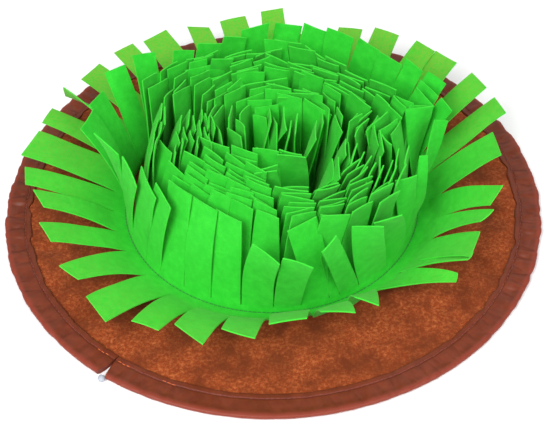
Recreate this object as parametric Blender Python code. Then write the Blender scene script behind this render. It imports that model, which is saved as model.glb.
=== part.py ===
"""A round snuffle mat: a felt disc in a gathered drawcord casing, with bands of felt fringe sewn on in rings.

Blender units are metres, +Z is up and the origin is the middle of the underside. The sizes and tables below
are in millimetres and degrees. Azimuth 0 is the right-hand side of the mat, 90 its back and 270 its front.
"""

import math

import bmesh
import bpy
import numpy as np

MM = 0.001
GAP = 0.3  # between one piece and the next

# The felt disc
FELT_THICK = 2.6
FLAT_R = 150.0  # inside this radius the felt lies flat on the ground
FELT_RINGS = (150.0, 175.0, 198.0, 216.0, 231.0)
FELT_SECTORS = 72

# How high the felt's rim stands off the ground: a steady lift with waves round the rim, less further in
RIM_LIFT = 1.1
RIM_WAVE_COLUMNS = ("height", "waves", "phase")
RIM_WAVES = (
    (0.6, 3, 57.0),
    (0.5, 5, 115.0),
    (0.3, 9, 0.0),
)
LIFT_POWER = 1.5

# The drawcord casing round it
CASING_SECTIONS = 126
PUCKERS = {"count": 42, "drift": 1.3, "drifts": 7, "beats": 23, "beat_share": 0.4}  # of uneven pitch and height
CASING_IN = 226.4
CASING_OUT = 250.0
NOTCH_AZIMUTH = 235.3
NOTCH_IN = 0.4  # half the gap between the two ends of the casing, at its inner and at its outer edge
NOTCH_OUT = 4.6
KNOB_R = 3.2  # the end of the drawcord
KNOB_OUT = 1.0  # how far its middle stands outside the casing
KNOB_TURN = 0.4  # and how far, in degrees, from the middle of the notch

# The casing's section, from the inner edge over the top and round the cord to the underside: how far in from
# the casing's outer edge, the height over the felt and how much the gathers move it
CASING_COLUMNS = ("inset", "height", "gather")
CASING_TOP = (
    (23.6, 0.0, 0.0),
    (23.3, 1.2, 0.1),
    (18.5, 1.5, 0.3),
    (11.0, 1.2, 0.9),
    (5.5, 2.4, 0.8),
    (2.6, 3.1, 0.6),
    (0.3, 1.4, 0.5),
    (0.4, -1.0, 0.4),
)
UNDER_INSET = 3.0  # the casing lies on the ground inside this

# The fringe
STITCH_CENTRE = (-1.0, -6.0)  # the rings are sewn a little towards the front
STRIP_THICK = 1.5
SLOT = 1.6
COLLAR_R = 136.0
COLLAR_SHAPE = {"outer_slope": 27.0, "outer_leaf": 12.0, "inner_slope": 80.0, "inner_leaf": 7.0}
BAND_SHAPE = {"outer_slope": 64.0, "outer_leaf": 9.5, "inner_slope": 64.0, "inner_leaf": 9.5}
CREASE_THICK = 2.1  # a band's thickness at its stitch line
STRIP_LENGTH = 87.0
STRIP_BEND = 7.0  # how much more a standing strip leans at its tip, and less at its root
LARGEST_LEAN = 64.0  # of a standing strip from upright
CROWDED = {"least": 0.6, "most": 1.0, "share": 0.97}  # a strip's width at its tip, in the room that it has

# The petals that make the collar's outer leaf, anticlockwise from the right-hand side. share is each one's
# angle of the ring, rise and droop are its slopes at the root and at the tip, swing turns it sideways, twist
# rolls it, skew slants its cut end and taper is its width at the tip over that at the root.
PETAL_START = -14.5
PETAL_COLUMNS = ("share", "length", "rise", "droop", "swing", "twist", "skew", "taper")
PETALS = (
    (11, 88, 55, 34, -30, 20, 28, 0.65),
    (12.5, 86, 57, 41, -11, 0, -12, 1.0),
    (10, 96, 44, 28, 5, 0, 1, 1.0),
    (10, 96, 51, 35, -1, 0, -2, 1.0),
    (11, 94, 42, 26, 11, 0, 3, 1.0),
    (9, 90, 50, 34, -3, 50, -10, 1.0),
    (11, 90, 42, 26, 7, 0, 4, 1.0),
    (10, 86, 35, 19, 7, 0, -4, 1.0),
    (10, 84, 20, 4, 9, 0, 5, 1.0),
    (10, 90, 48, 32, 12, 0, -1, 0.92),
    (11, 90, 36, 20, 11, 0, 1, 1.0),
    (10, 88, 34, 18, 8, 0, 22, 0.85),
    (12, 92, 36, 20, 11, 0, -1, 0.95),
    (9, 92, 37, 21, 8, 0, 7, 1.0),
    (11, 93, 30, 14, 8, 0, 1, 1.0),
    (9, 93, 33, 15, 8, 70, 0, 0.9),
    (10, 92, 27, 11, 2, 0, -1, 0.85),
    (14, 92, 26, 10, -4, 0, 6, 1.0),
    (10, 86, 36, 12, -3, 0, -10, 0.9),
    (10, 80, 49, 27, 3, 0, -20, 0.8),
    (10, 76, 43, 21, 0, 0, -9, 1.0),
    (13.5, 74, 40, 18, 6, 0, -15, 0.62),
    (13, 74, 35, 11, 0, 0, 13, 1.0),
    (11, 74, 44, 20, 5, -20, -30, 0.75),
    (12.7, 74, 49, 23, 0, 0, 30, 0.97),
    (11.6, 74, 56, 28, -4, 0, 22, 1.0),
    (13.7, 74, 68, 33, -10, 0, -23, 0.85),
    (12, 72, 70, 33, -14, 0, 40, 0.85),
    (12, 72, 61, 31, -34, 20, 30, 0.65),
    (8.5, 74, 65, 37, -28, 35, 30, 0.7),
    (8.5, 78, 56, 32, -13, 0, -8, 0.7),
    (10.7, 78, 54, 32, -10, 0, -19, 1.2),
    (10.6, 84, 58, 36, -20, 0, 30, 0.5),
)

# The strips that stand as a wall on the collar's inner leaf, anticlockwise from the right-hand side. lean is
# outwards from upright and side is along the ring.
WALL_START = 0.0
WALL_COLUMNS = ("share", "length", "lean", "side", "twist", "skew", "taper")
WALL = (
    (10, 84, 3, 8, -50, 0, 1.0),
    (10, 86, 14, 4, 20, 0, 1.0),
    (9.5, 86, 21, 2, 34, 0, 1.1),
    (9, 88, 17, -3, 20, 4, 1.0),
    (10, 86, 9, -6, 16, 0, 1.1),
    (11, 88, 9, -6, -7, -3, 1.05),
    (11.5, 88, 10, -4, -5, 0, 1.1),
    (11, 86, 12, -6, -10, 2, 1.0),
    (11, 84, 16, -8, 2, -4, 1.05),
    (11, 84, -2, -4, 2, 0, 1.0),
    (11, 84, -3, -7, -3, 3, 0.88),
    (11.5, 84, -2, -8, -14, 0, 0.92),
    (12, 84, 4, -11, -24, 0, 0.75),
    (11.5, 88, 20, -13, -24, 5, 0.85),
    (10.5, 90, 25, -14, -30, 0, 0.9),
    (10.5, 84, 25, -8, -3, 0, 1.1),
    (10.5, 84, 24, -5, -3, 0, 1.1),
    (10, 84, 9, 0, 30, 0, 1.1),
    (10, 82, -3, 9, 10, -12, 1.1),
    (12.5, 84, -8, 7, 5, -6, 1.0),
    (9.5, 84, -9, 4, -8, -5, 0.9),
    (12, 86, -14, -3, -8, -6, 1.1),
    (12, 86, -15, -1, -14, -6, 1.1),
    (13, 85, -13, 1, -20, -5, 1.0),
    (12.5, 82, 8, 3, -31, 0, 1.05),
    (12, 80, 14, -3, -19, 0, 0.95),
    (12.5, 83, -13, -9, 5, 0, 1.0),
    (9.5, 80, 5, -13, 9, 14, 0.8),
    (11.5, 84, 5, -12, -45, 0, 1.0),
    (12, 84, 5, -18, -42, 0, 0.8),
    (10, 86, -2, -9, -50, 0, 1.0),
    (10, 86, -2, -6, -12, 0, 0.85),
    (10, 84, 2, 2, -30, 0, 1.0),
)

# The bands inside the collar: the radius of the stitch line and the strips of each leaf
BAND_COLUMNS = ("stitch_r", "outer", "inner")
BANDS = (
    (119.5, 29, 27),
    (102.5, 25, 23),
    (85.5, 21, 19),
    (68.5, 17, 15),
    (51.5, 12, 11),
    (34.5, 8, 7),
    (18.0, 5, 3),
)

# How the pile stands. It leans as a whole, its front more than its back, and never nearer to the wall than
# the rows of tips between them take up. Each clump pushes the tips near it away.
DRIFT = (2.0, 11.0)
SQUEEZE = 0.07
ROW_STEP = 6.2
WALL_FLARE = 1.2  # beside a strip of the wall, how fast the pile may come out again, in mm a degree
CLUMP_COLUMNS = ("x", "y", "reach", "push")
CLUMPS = (
    (24, -44, 44, 25),
    (-112, -10, 26, 8),
)
COMB = {"x": 30.0, "y": -30.0, "reach": 30.0, "azimuth": 95.0, "share": 0.35}  # strips in the pit turn edge-on
RIPPLE = {"size": 2.2, "pitch": 36.0, "turns": 2}  # rows crowd together and open out, in a loose spiral
PARTING = 285.0  # every row has a slot at this azimuth
WANDER = {"share": 0.12, "lean": 0.5, "twist": 4.0, "skew": 4.0, "length": 3.0}  # from strip to strip


def rows(columns, table):
    """The rows of a table as dictionaries."""
    return [dict(zip(columns, row)) for row in table]


def circle(radius, azimuth, height=0.0, centre=(0.0, 0.0)):
    """Points, in millimetres, at these radii and azimuths round a centre."""
    angle = np.radians(azimuth)
    x, y = centre[0] + radius * np.cos(angle), centre[1] + radius * np.sin(angle)
    return np.stack(np.broadcast_arrays(x, y, height), axis=-1)


def cuts(shares, start=0.0):
    """Azimuths at which each strip of a leaf begins and ends, from its share of the ring."""
    edges = start + 360.0 * np.concatenate([[0.0], np.cumsum(shares)]) / sum(shares)
    return np.stack([edges[:-1], edges[1:]], axis=-1)


def wall_reach(azimuth):
    """How far out the pile may come at this azimuth about the stitch centre, inside the wall's tips."""
    edge = leaf_edge(COLLAR_R, COLLAR_SHAPE["inner_slope"], COLLAR_SHAPE["inner_leaf"], inward=True)[0][0]
    wall = dict(zip(WALL_COLUMNS, np.transpose(WALL)))
    out = edge + wall["length"] * np.sin(np.radians(wall["lean"]))
    along_ring = wall["length"] * np.sin(np.radians(wall["side"]))
    middles = cuts(wall["share"], WALL_START).mean(axis=1) + np.degrees(np.arctan2(along_ring, out))
    half = wall["share"] / 2 * wall["taper"]
    inner = out - edge * np.radians(half) * np.abs(np.sin(np.radians(wall["twist"])))
    beyond = np.abs((azimuth - middles + 180) % 360 - 180) - half
    return np.min(inner + WALL_FLARE * np.maximum(beyond, 0))


def nearness(point, place):
    """1 at the middle of a place in the pile, falling off over its reach, and the way there from its middle."""
    away = point[:2] - (place["x"], place["y"])
    distance = max(np.hypot(*away), 1.0)
    return math.exp(-((distance / place["reach"]) ** 2)), away / distance


def carried(point, rank):
    """Where the pile carries the tip of a strip rooted here, with rank rows between it and the wall."""
    there = point[:2] + DRIFT
    there[1] -= SQUEEZE * point[1]
    for clump in rows(CLUMP_COLUMNS, CLUMPS):
        near, away = nearness(point, clump)
        there += near * clump["push"] * away
    out = there - STITCH_CENTRE
    radius, angle = np.hypot(*out), math.atan2(out[1], out[0])
    radius += RIPPLE["size"] * math.sin(2 * math.pi * radius / RIPPLE["pitch"] + RIPPLE["turns"] * angle)
    radius = min(radius, wall_reach(math.degrees(angle)) - rank * ROW_STEP)
    return np.append(STITCH_CENTRE + radius * np.array([math.cos(angle), math.sin(angle)]), point[2])


def combed(point, azimuth):
    """How far a strip rooted here turns, in degrees, so that its width comes nearer to the comb's azimuth."""
    short = (COMB["azimuth"] - azimuth + 90.0) % 180.0 - 90.0
    return short * COMB["share"] * nearness(point, COMB)[0]


def strip_sections(strip, steps):
    """Four corners for each section along a strip, root first.

    The middle line leaves the root at slope strip["rise"] in the upright plane of strip["heading"], and its
    slope changes evenly to strip["droop"]. The width runs along the ring, square to the middle line, and turns
    round that line by strip["twist"] at the tip, where the end is cut at strip["skew"].
    """
    share = np.linspace(0.0, 1.0, steps + 1)[:, None]
    rise, droop = np.radians([strip["rise"], strip["droop"] + 1e-3])
    slope = rise + (droop - rise) * share
    heading, up = strip["heading"], np.array([0.0, 0.0, 1.0])
    run = (np.sin(slope) - math.sin(rise)) / (droop - rise)
    climb = (math.cos(rise) - np.cos(slope)) / (droop - rise)
    middle = strip["root"] + strip["length"] * (heading * run + up * climb)
    along = heading * np.cos(slope) + up * np.sin(slope)
    across = strip["across"] - along * (along @ strip["across"])[:, None]
    across /= np.linalg.norm(across, axis=1)[:, None]
    normal = np.cross(along, across)
    turn = math.radians(strip["twist"]) * share
    half = strip["width"] / 2 * (1 + (strip["taper"] - 1) * share)
    slant = along * half * math.tan(math.radians(strip["skew"])) * share
    side = (across * np.cos(turn) + normal * np.sin(turn)) * half
    thick = (normal * np.cos(turn) - across * np.sin(turn)) * STRIP_THICK / 2
    corners = (-side - slant - thick, side + slant - thick, side + slant + thick, -side - slant + thick)
    return np.stack([middle + corner for corner in corners], axis=1)


def leaf_edge(stitch_r, slope, leaf, inward):
    """Radius and height of the two sides of a leaf's cut edge: behind its strips and in front of them.

    A leaf rises from the stitch line at this slope, outwards or inwards. Its strips are cut down to its edge.
    """
    angle = math.radians(slope)
    way = -1 if inward else 1
    radius = stitch_r + way * leaf * math.cos(angle)
    height = FELT_THICK + GAP + STRIP_THICK / 2 + leaf * math.sin(angle)
    normal = STRIP_THICK / 2 * np.array([-math.sin(angle), way * math.cos(angle)])
    return (radius - normal[0], height - normal[1]), (radius + normal[0], height + normal[1])


def leaf_rings(shares, start, edge, verts):
    """The two rings of points round a leaf's edge, four to a strip, as indices with their azimuths."""
    azimuths = cuts(shares, start) + np.degrees(SLOT / 2 / edge[0][0]) * np.array([1, -1])
    rings = []
    for radius, height in edge:
        points = circle(radius, azimuths, height, STITCH_CENTRE).reshape(-1, 3)
        rings.append([(azimuth, len(verts) + i) for i, azimuth in enumerate(azimuths.ravel())])
        verts.extend(points)
    return rings


def zip_rings(ring, other, faces):
    """Triangles between two closed rings of (azimuth, index), taken in order of azimuth."""
    ring, other = (loop + [(loop[0][0] + 360, loop[0][1])] for loop in (ring, other))
    i = j = 0
    while i < len(ring) - 1 or j < len(other) - 1:
        if j == len(other) - 1 or (i < len(ring) - 1 and ring[i + 1][0] <= other[j + 1][0]):
            faces.append((ring[i][1], ring[i + 1][1], other[j][1]))
            i += 1
        else:
            faces.append((ring[i][1], other[j + 1][1], other[j][1]))
            j += 1


def grow_strip(root, strip, steps, verts, faces):
    """A strip of felt grown from the four root points on its leaf's edge."""
    corners = np.array([verts[i] for i in root])
    chord = corners[1] - corners[0]
    strip["root"] = corners.mean(axis=0)
    strip["width"] = np.linalg.norm(chord)
    strip["across"] = chord / strip["width"]
    strip["corners"] = corners
    azimuth = math.radians(strip["azimuth"])
    outward = np.array([math.cos(azimuth), math.sin(azimuth), 0.0])
    strip.update(strip["aim"](strip, outward))
    loop = list(root)
    for section in strip_sections(strip, steps)[1:]:
        new = list(range(len(verts), len(verts) + 4))
        verts.extend(section)
        faces.extend((loop[k], loop[(k + 1) % 4], new[(k + 1) % 4], new[k]) for k in range(4))
        loop = new
    faces.append(tuple(loop))


def grow_leaf(strips, start, edge, steps, verts, faces):
    """All the strips of one leaf and the slots between them. Returns the leaf's two rings."""
    back, front = leaf_rings([strip["share"] for strip in strips], start, edge, verts)
    count = len(strips)
    for i, strip in enumerate(strips):
        a, b, after = 2 * i, 2 * i + 1, (2 * i + 2) % (2 * count)
        strip["azimuth"] = (back[a][0] + back[b][0]) / 2
        root = (back[a][1], back[b][1], front[b][1], front[a][1])
        grow_strip(root, strip, steps, verts, faces)
        faces.append((back[b][1], back[after][1], front[after][1], front[b][1]))
    return back, front


def aim_petal(strip, outward):
    """A petal leaves its root outwards, turned sideways by its swing."""
    swing = math.radians(strip["swing"])
    along_ring = np.array([-outward[1], outward[0], 0.0])
    return {"heading": outward * math.cos(swing) + along_ring * math.sin(swing)}


def upright(strip, shift, twist, taper):
    """A strip that stands up and whose tip is carried sideways by this shift, bending more as it climbs."""
    reach = max(np.linalg.norm(shift), 0.5)
    slope = max(math.degrees(math.acos(min(reach / strip["length"], 1.0))), 90.0 - LARGEST_LEAN)
    return {
        "heading": shift / np.linalg.norm(shift),
        "rise": slope + STRIP_BEND,
        "droop": slope - STRIP_BEND,
        "twist": twist,
        "taper": taper,
    }


def aim_wall(strip, outward):
    """A strip of the wall has a lean of its own."""
    along_ring = np.array([-outward[1], outward[0], 0.0])
    lean, side = np.radians([strip["lean"], strip["side"]])
    shift = strip["length"] * (outward * math.sin(lean) + along_ring * math.sin(side))
    return upright(strip, shift, strip["twist"], strip["taper"])


def aim_pile(strip, outward):
    """A strip of the pile has its tip carried with the pile, and a little wander of its own."""
    first, second = strip["corners"][:2]
    lean = strip["length"] * math.sin(math.radians(strip["lean"]))
    shift = carried(strip["root"], strip["rank"]) - strip["root"] + outward * lean
    chord = carried(second, strip["rank"]) - carried(first, strip["rank"])
    turn = math.degrees(math.atan2(np.cross(strip["across"], chord)[2], strip["across"] @ chord))
    turn += combed(strip["root"], math.degrees(math.atan2(chord[1], chord[0])))
    room = CROWDED["share"] * np.linalg.norm(chord) / strip["width"]
    return upright(strip, shift, strip["twist"] + turn, min(max(room, CROWDED["least"]), CROWDED["most"]))


def fringe_band(name, stitch_r, shape, outer, inner, starts, steps, colour):
    """A band of felt sewn down along its middle, whose two leaves stand up from there and are cut to strips."""
    verts, faces = [], []
    outer_edge = leaf_edge(stitch_r, shape["outer_slope"], shape["outer_leaf"], inward=False)
    inner_edge = leaf_edge(stitch_r, shape["inner_slope"], shape["inner_leaf"], inward=True)
    outer_back, outer_front = grow_leaf(outer, starts[0], outer_edge, steps, verts, faces)
    inner_back, inner_front = grow_leaf(inner, starts[1], inner_edge, steps, verts, faces)
    creases = []
    for height in (FELT_THICK + GAP, FELT_THICK + GAP + CREASE_THICK):
        azimuths = starts[0] + 360.0 * np.arange(len(outer)) / len(outer)
        creases.append([(azimuth, len(verts) + i) for i, azimuth in enumerate(azimuths)])
        verts.extend(circle(stitch_r, azimuths, height, STITCH_CENTRE))
    under, valley = creases
    zip_rings(outer_back, under, faces)
    zip_rings(outer_front, valley, faces)
    zip_rings(inner_back, valley, faces)
    zip_rings(inner_front, under, faces)
    return add_object(name, verts, faces, colour)


def pile_strips(count, rank, seed):
    """A row of like strips, each a little different in width, lean, twist, length and cut."""
    draw = np.random.RandomState(seed)
    strips = []
    for _ in range(count):
        wander = {key: draw.uniform(-1, 1) * size for key, size in WANDER.items()}
        strips.append(
            {
                "share": 1.0 + wander["share"],
                "length": STRIP_LENGTH + wander["length"],
                "lean": wander["lean"],
                "twist": wander["twist"],
                "skew": wander["skew"],
                "rank": rank,
                "aim": aim_pile,
            }
        )
    return strips


def collar():
    """The outermost band: petals laid out over the felt, and a wall of strips that stands inside them."""
    petals = [dict(row, aim=aim_petal) for row in rows(PETAL_COLUMNS, PETALS)]
    wall = [dict(row, aim=aim_wall) for row in rows(WALL_COLUMNS, WALL)]
    starts = (PETAL_START, WALL_START)
    return fringe_band("fringe_collar", COLLAR_R, COLLAR_SHAPE, petals, wall, starts, 4, GREEN)


def felt_lift(radius, azimuth):
    """How far the felt stands off the ground: flat in the middle, lifted in shallow waves towards the rim."""
    outside = np.clip((radius - FLAT_R) / (CASING_OUT - FLAT_R), 0, 1)
    lift = RIM_LIFT
    for wave in rows(RIM_WAVE_COLUMNS, RIM_WAVES):
        lift = lift + wave["height"] * np.sin(np.radians(wave["waves"] * azimuth + wave["phase"]))
    return np.maximum(0.0, lift) * outside**LIFT_POWER


def felt_base():
    """The disc of felt under everything."""
    azimuths = 360.0 * np.arange(FELT_SECTORS) / FELT_SECTORS
    verts, faces = [np.zeros(3), np.array([0, 0, FELT_THICK])], []
    for under in (True, False):
        hub = 0 if under else 1
        ring = None
        for radius in FELT_RINGS:
            lift = felt_lift(radius, azimuths) + (0 if under else FELT_THICK)
            new = list(range(len(verts), len(verts) + FELT_SECTORS))
            verts.extend(circle(radius, azimuths, lift))
            for k in range(FELT_SECTORS):
                n = (k + 1) % FELT_SECTORS
                faces.append((hub, new[k], new[n]) if ring is None else (ring[k], new[k], new[n], ring[n]))
            ring = new
        if under:
            rim = ring
    for k in range(FELT_SECTORS):
        n = (k + 1) % FELT_SECTORS
        faces.append((rim[k], rim[n], ring[n], ring[k]))
    return add_object("felt_base", verts, faces, RUST)


def pucker(turns):
    """How far a gather stands up, -1 to 1, at this angle along the casing."""
    even = np.sin(PUCKERS["count"] * turns + PUCKERS["drift"] * np.sin(PUCKERS["drifts"] * turns))
    return (1 - PUCKERS["beat_share"]) * even + PUCKERS["beat_share"] * np.sin(PUCKERS["beats"] * turns)


def casing():
    """The gathered casing: a flat tube of fabric that grips the felt's edge, open where its two ends meet."""
    over = FELT_THICK + GAP
    inner = FELT_RINGS[-1] + GAP
    top = rows(CASING_COLUMNS, CASING_TOP)
    profile = [(CASING_OUT - row["inset"], over + row["height"], row["gather"]) for row in top]
    profile += [(CASING_OUT - UNDER_INSET, 0.0, 0.0), (inner, 0.0, 0.0), (inner, over, 0.0)]
    share = np.arange(CASING_SECTIONS + 1) / CASING_SECTIONS
    wave = pucker(2 * np.pi * share)
    verts, faces = [], []
    for radius, height, gather in profile:
        outside = max(0.0, (radius - CASING_IN) / (CASING_OUT - CASING_IN))
        notch = NOTCH_IN + (NOTCH_OUT - NOTCH_IN) * outside**2
        open_by = math.degrees(notch / radius)
        azimuth = NOTCH_AZIMUTH + open_by + (360 - 2 * open_by) * share
        lift = felt_lift(radius, azimuth)
        verts.append(circle(radius - 0.5 * gather * (1 - wave), azimuth, height + lift + gather * wave))
    count, sections = len(profile), CASING_SECTIONS + 1
    verts = list(np.stack(verts, axis=1).reshape(-1, 3))
    for k in range(sections - 1):
        for i in range(count):
            n = (i + 1) % count
            faces.append((k * count + i, k * count + n, (k + 1) * count + n, (k + 1) * count + i))
    faces.append(tuple(range(count)))
    faces.append(tuple((sections - 1) * count + i for i in range(count)))
    return add_object("drawcord_casing", verts, faces, BROWN)


def cord_knob():
    """The end of the drawcord, where it shows at the notch."""
    data = bpy.data.meshes.new("drawcord_end")
    built = bmesh.new()
    bmesh.ops.create_uvsphere(built, u_segments=12, v_segments=8, radius=KNOB_R * MM)
    built.to_mesh(data)
    built.free()
    obj = bpy.data.objects.new("drawcord_end", data)
    obj.location = circle(CASING_OUT + KNOB_OUT, NOTCH_AZIMUTH + KNOB_TURN, KNOB_R) * MM
    bpy.context.scene.collection.objects.link(obj)
    obj.data.materials.append(material(*PALE))
    obj.data.shade_smooth()
    return obj


# name, colour, roughness
GREEN = ("green_felt", (0.03, 0.60, 0.03), 0.9)
RUST = ("rust_felt", (0.32, 0.07, 0.02), 0.95)
BROWN = ("brown_taffeta", (0.17, 0.04, 0.03), 0.55)
PALE = ("pale_cord", (0.60, 0.60, 0.63), 0.6)


def material(name, colour, roughness):
    """A plain material, made once for each name."""
    made = bpy.data.materials.get(name)
    if made is None:
        made = bpy.data.materials.new(name)
        made.use_nodes = True
        shader = made.node_tree.nodes["Principled BSDF"]
        shader.inputs["Base Color"].default_value = (*colour, 1.0)
        shader.inputs["Roughness"].default_value = roughness
    return made


def add_object(name, verts, faces, finish):
    """A mesh object from points in millimetres, with its faces turned outwards."""
    data = bpy.data.meshes.new(name)
    data.from_pydata([tuple(float(c) * MM for c in vert) for vert in verts], [], faces)
    built = bmesh.new()
    built.from_mesh(data)
    bmesh.ops.recalc_face_normals(built, faces=built.faces)
    built.to_mesh(data)
    built.free()
    obj = bpy.data.objects.new(name, data)
    bpy.context.scene.collection.objects.link(obj)
    data.materials.append(material(*finish))
    return obj


def main():
    for obj in list(bpy.data.objects):
        bpy.data.objects.remove(obj, do_unlink=True)
    felt_base()
    casing()
    cord_knob()
    collar()
    for k, band in enumerate(rows(BAND_COLUMNS, BANDS)):
        outer = pile_strips(band["outer"], rank=2 * k + 1, seed=20 + 2 * k)
        inner = pile_strips(band["inner"], rank=2 * k + 2, seed=21 + 2 * k)
        starts = (PARTING, PARTING)
        fringe_band(f"fringe_{k + 2}", band["stitch_r"], BAND_SHAPE, outer, inner, starts, 2, GREEN)


main()
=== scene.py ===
import math

import bpy
import numpy as np
from bpy.props import FloatProperty, FloatVectorProperty, PointerProperty
from mathutils import Matrix


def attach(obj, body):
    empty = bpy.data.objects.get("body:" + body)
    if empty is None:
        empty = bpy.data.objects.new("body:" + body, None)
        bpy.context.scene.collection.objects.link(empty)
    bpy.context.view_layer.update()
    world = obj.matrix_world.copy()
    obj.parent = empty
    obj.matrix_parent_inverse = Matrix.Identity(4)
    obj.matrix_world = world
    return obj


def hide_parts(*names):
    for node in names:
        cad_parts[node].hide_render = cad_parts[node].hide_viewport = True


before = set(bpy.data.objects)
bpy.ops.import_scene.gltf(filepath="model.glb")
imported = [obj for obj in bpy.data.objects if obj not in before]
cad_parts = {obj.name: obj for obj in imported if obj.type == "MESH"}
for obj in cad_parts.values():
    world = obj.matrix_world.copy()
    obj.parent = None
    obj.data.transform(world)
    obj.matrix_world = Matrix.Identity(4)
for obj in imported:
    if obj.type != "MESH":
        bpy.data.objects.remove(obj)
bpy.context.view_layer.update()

bl_info = {
    "name": "Snuffle Mat",
    "version": (1, 0, 0),
    "blender": (4, 5, 0),
    "location": "3D View > Sidebar > Snuffle Mat",
    "description": "Dresses a round felt snuffle mat: fringe, felt ground, gathered casing and drawcord",
    "category": "Object",
}

# All sizes below are in millimetres and degrees, and azimuth 0 is the mat's right-hand side, 90 its back.
# GAP is the room between two pieces that lie on or beside each other, and BODY the body that all ride on
MM = 0.001
GAP = 0.3
BODY = "root"

# The felt disc: its thickness, its radius, the radius within which it lies flat, the steady lift of its
# rim, the waves round the rim, and the power by which both grow outwards
FELT_THICK = 2.6
FELT_R = 231.0
FLAT_R = 150.0
RIM_LIFT = 1.1
RIM_WAVE_COLUMNS = ("height", "waves", "phase")
RIM_WAVES = (
    (0.6, 3, 57.0),
    (0.5, 5, 115.0),
    (0.3, 9, 0.0),
)
LIFT_POWER = 1.5

# Soft creases and dents in the felt disc, where it has been folded for packing: the middle, the direction
# it runs in, its length, its width and its depth
DENT_COLUMNS = ("x", "y", "azimuth", "length", "width", "depth")
DENTS = (
    (118, -178, 62, 90, 7, 0.8),
    (60, -196, 78, 60, 9, 0.6),
    (186, -92, 128, 70, 8, 0.9),
    (196, -30, 160, 60, 9, 0.7),
    (207, 34, 10, 50, 8, 0.7),
    (-206, -62, 172, 60, 8, 0.8),
    (-152, -140, 225, 70, 9, 0.7),
    (-20, -205, 100, 60, 10, 0.5),
    (170, -140, 30, 60, 8, 0.6),
)

# Its slight unevenness: waves that cross it at odd angles, each by its turn for a millimetre along x and
# along y, in radians, and its phase; how high their mean is; how far from the rim creases and waves fade
# out; and the steps of the disc's grid each way
UNEVEN_COLUMNS = ("x", "y", "phase")
UNEVEN = (
    (0.062, 0.021, 0.0),
    (-0.035, 0.071, 1.0),
    (0.108, -0.083, 2.0),
    (0.015, 0.14, 4.0),
)
UNEVEN_HEIGHT = 0.15
RIM_FADE = 12.0
GROUND_STEPS = 120

# The drawcord casing: its inner and outer radius, where its two ends meet, how far each stays off the
# notch's middle at both radii, where its underside's points lie in from the outer edge, how far in the
# lip's painted highlight (a lighter, redder band) begins and over what width it fades in, and how finely the
# casing is modelled
CASING_IN = 226.4
CASING_OUT = 250.0
NOTCH_AZIMUTH = 235.3
NOTCH_IN = 0.4
NOTCH_OUT = 4.6
UNDER_INSETS = (3.0, 8.0)
LIP_PAINTED_HIGHLIGHT = {"inset": 6.0, "fade": 3.0}
CASING_STEPS = {"round": 1800, "across": 40}

# The casing's top, from its inner edge outwards: how far in from the outer edge, the height over the felt,
# and how far the gathers lift it
CASING_COLUMNS = ("inset", "height", "gather")
CASING_TOP = (
    (23.6, 0.1, 0.0),
    (23.4, 1.1, 0.1),
    (22.2, 1.5, 0.2),
    (19.4, 1.5, 0.3),
    (18.6, 0.8, 0.35),
    (17.6, 1.3, 0.6),
    (14.0, 1.4, 1.0),
    (9.5, 1.4, 1.0),
    (6.4, 1.9, 0.9),
    (4.4, 2.3, 0.8),
    (2.6, 2.5, 0.65),
    (1.0, 2.1, 0.5),
    (0.2, 1.2, 0.4),
    (0.2, -0.4, 0.3),
    (1.0, -1.6, 0.2),
)

# Puckers of the casing: how many go round, how high they stand against the others, how far they lean over
# from the seam to the lip, in degrees, and how much their spacing drifts
PUCKER_COLUMNS = ("count", "height", "lean", "drift")
PUCKERS = (
    (29, 0.30, 3.0, 2.2),
    (53, 0.42, -2.6, 2.9),
    (89, 0.30, 1.6, 2.4),
    (151, 0.14, -0.6, 1.6),
)

# Where the cord pulls the cloth into a sharp pinch, which also draws a corner in its inner edge: how wide
# and how deep each is
PINCH_COLUMNS = ("azimuth", "width", "depth")
PINCHES = (
    (-31, 1.4, 0.5),
    (-17, 1.6, 0.9),
    (-4, 1.3, 0.6),
    (8, 1.5, 0.8),
    (21, 1.5, 1.0),
    (34, 1.3, 0.5),
    (52, 1.5, 0.7),
    (71, 1.2, 0.6),
    (93, 1.5, 0.7),
    (112, 1.3, 0.5),
    (131, 1.5, 0.8),
    (147, 1.3, 0.6),
    (160, 1.4, 0.9),
    (172, 1.5, 1.0),
    (183, 1.5, 0.9),
    (194, 1.4, 0.6),
    (208, 1.3, 0.5),
    (222, 1.2, 0.4),
    (248, 1.2, 0.4),
    (261, 1.4, 0.5),
    (277, 1.3, 0.4),
    (294, 1.4, 0.5),
    (311, 1.5, 0.7),
    (322, 1.4, 0.6),
)
PINCH_FLATTENS = 0.8

# How the puckers' mean is spread from flat valleys to ridges, how broad a ridge is (less than 1 is
# broader), how often their spacing drifts round the mat, and how far apart the rounds are in that, in
# degrees for 1 of height
PUCKER_FORM = {"gain": 1.7, "less": 0.6, "breadth": 0.7, "drifts": 7, "apart": 400}

# How strongly the casing is gathered: all round, how much more so at its left and right, the part of a
# pucker that lies under the plain top, and how soon the gathers begin at the casing's ends, as 1 over a
# share of its length
GATHERED = {"mean": 0.72, "sides": 0.34, "under": 0.4, "begin": 160}

# How far a valley draws the casing's outer edge in, and a pinch its inner edge
DRAWN_IN = {"lip": 1.4, "seam": 2.4}

# The drawcord's knotted end: its radius, how far its middle is past the casing's edge and from the notch's
# middle, in degrees, how finely it is modelled, how many plies wind round it, how often, how much they
# swell, and how far from its poles the rings begin, in radians
KNOB_R = 3.2
KNOB_OUT = 1.0
KNOB_TURN = 0.4
KNOT = {"rings": 24, "sides": 32, "plies": 2, "winds": 5, "swell": 0.1, "pole": 0.02}

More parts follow.
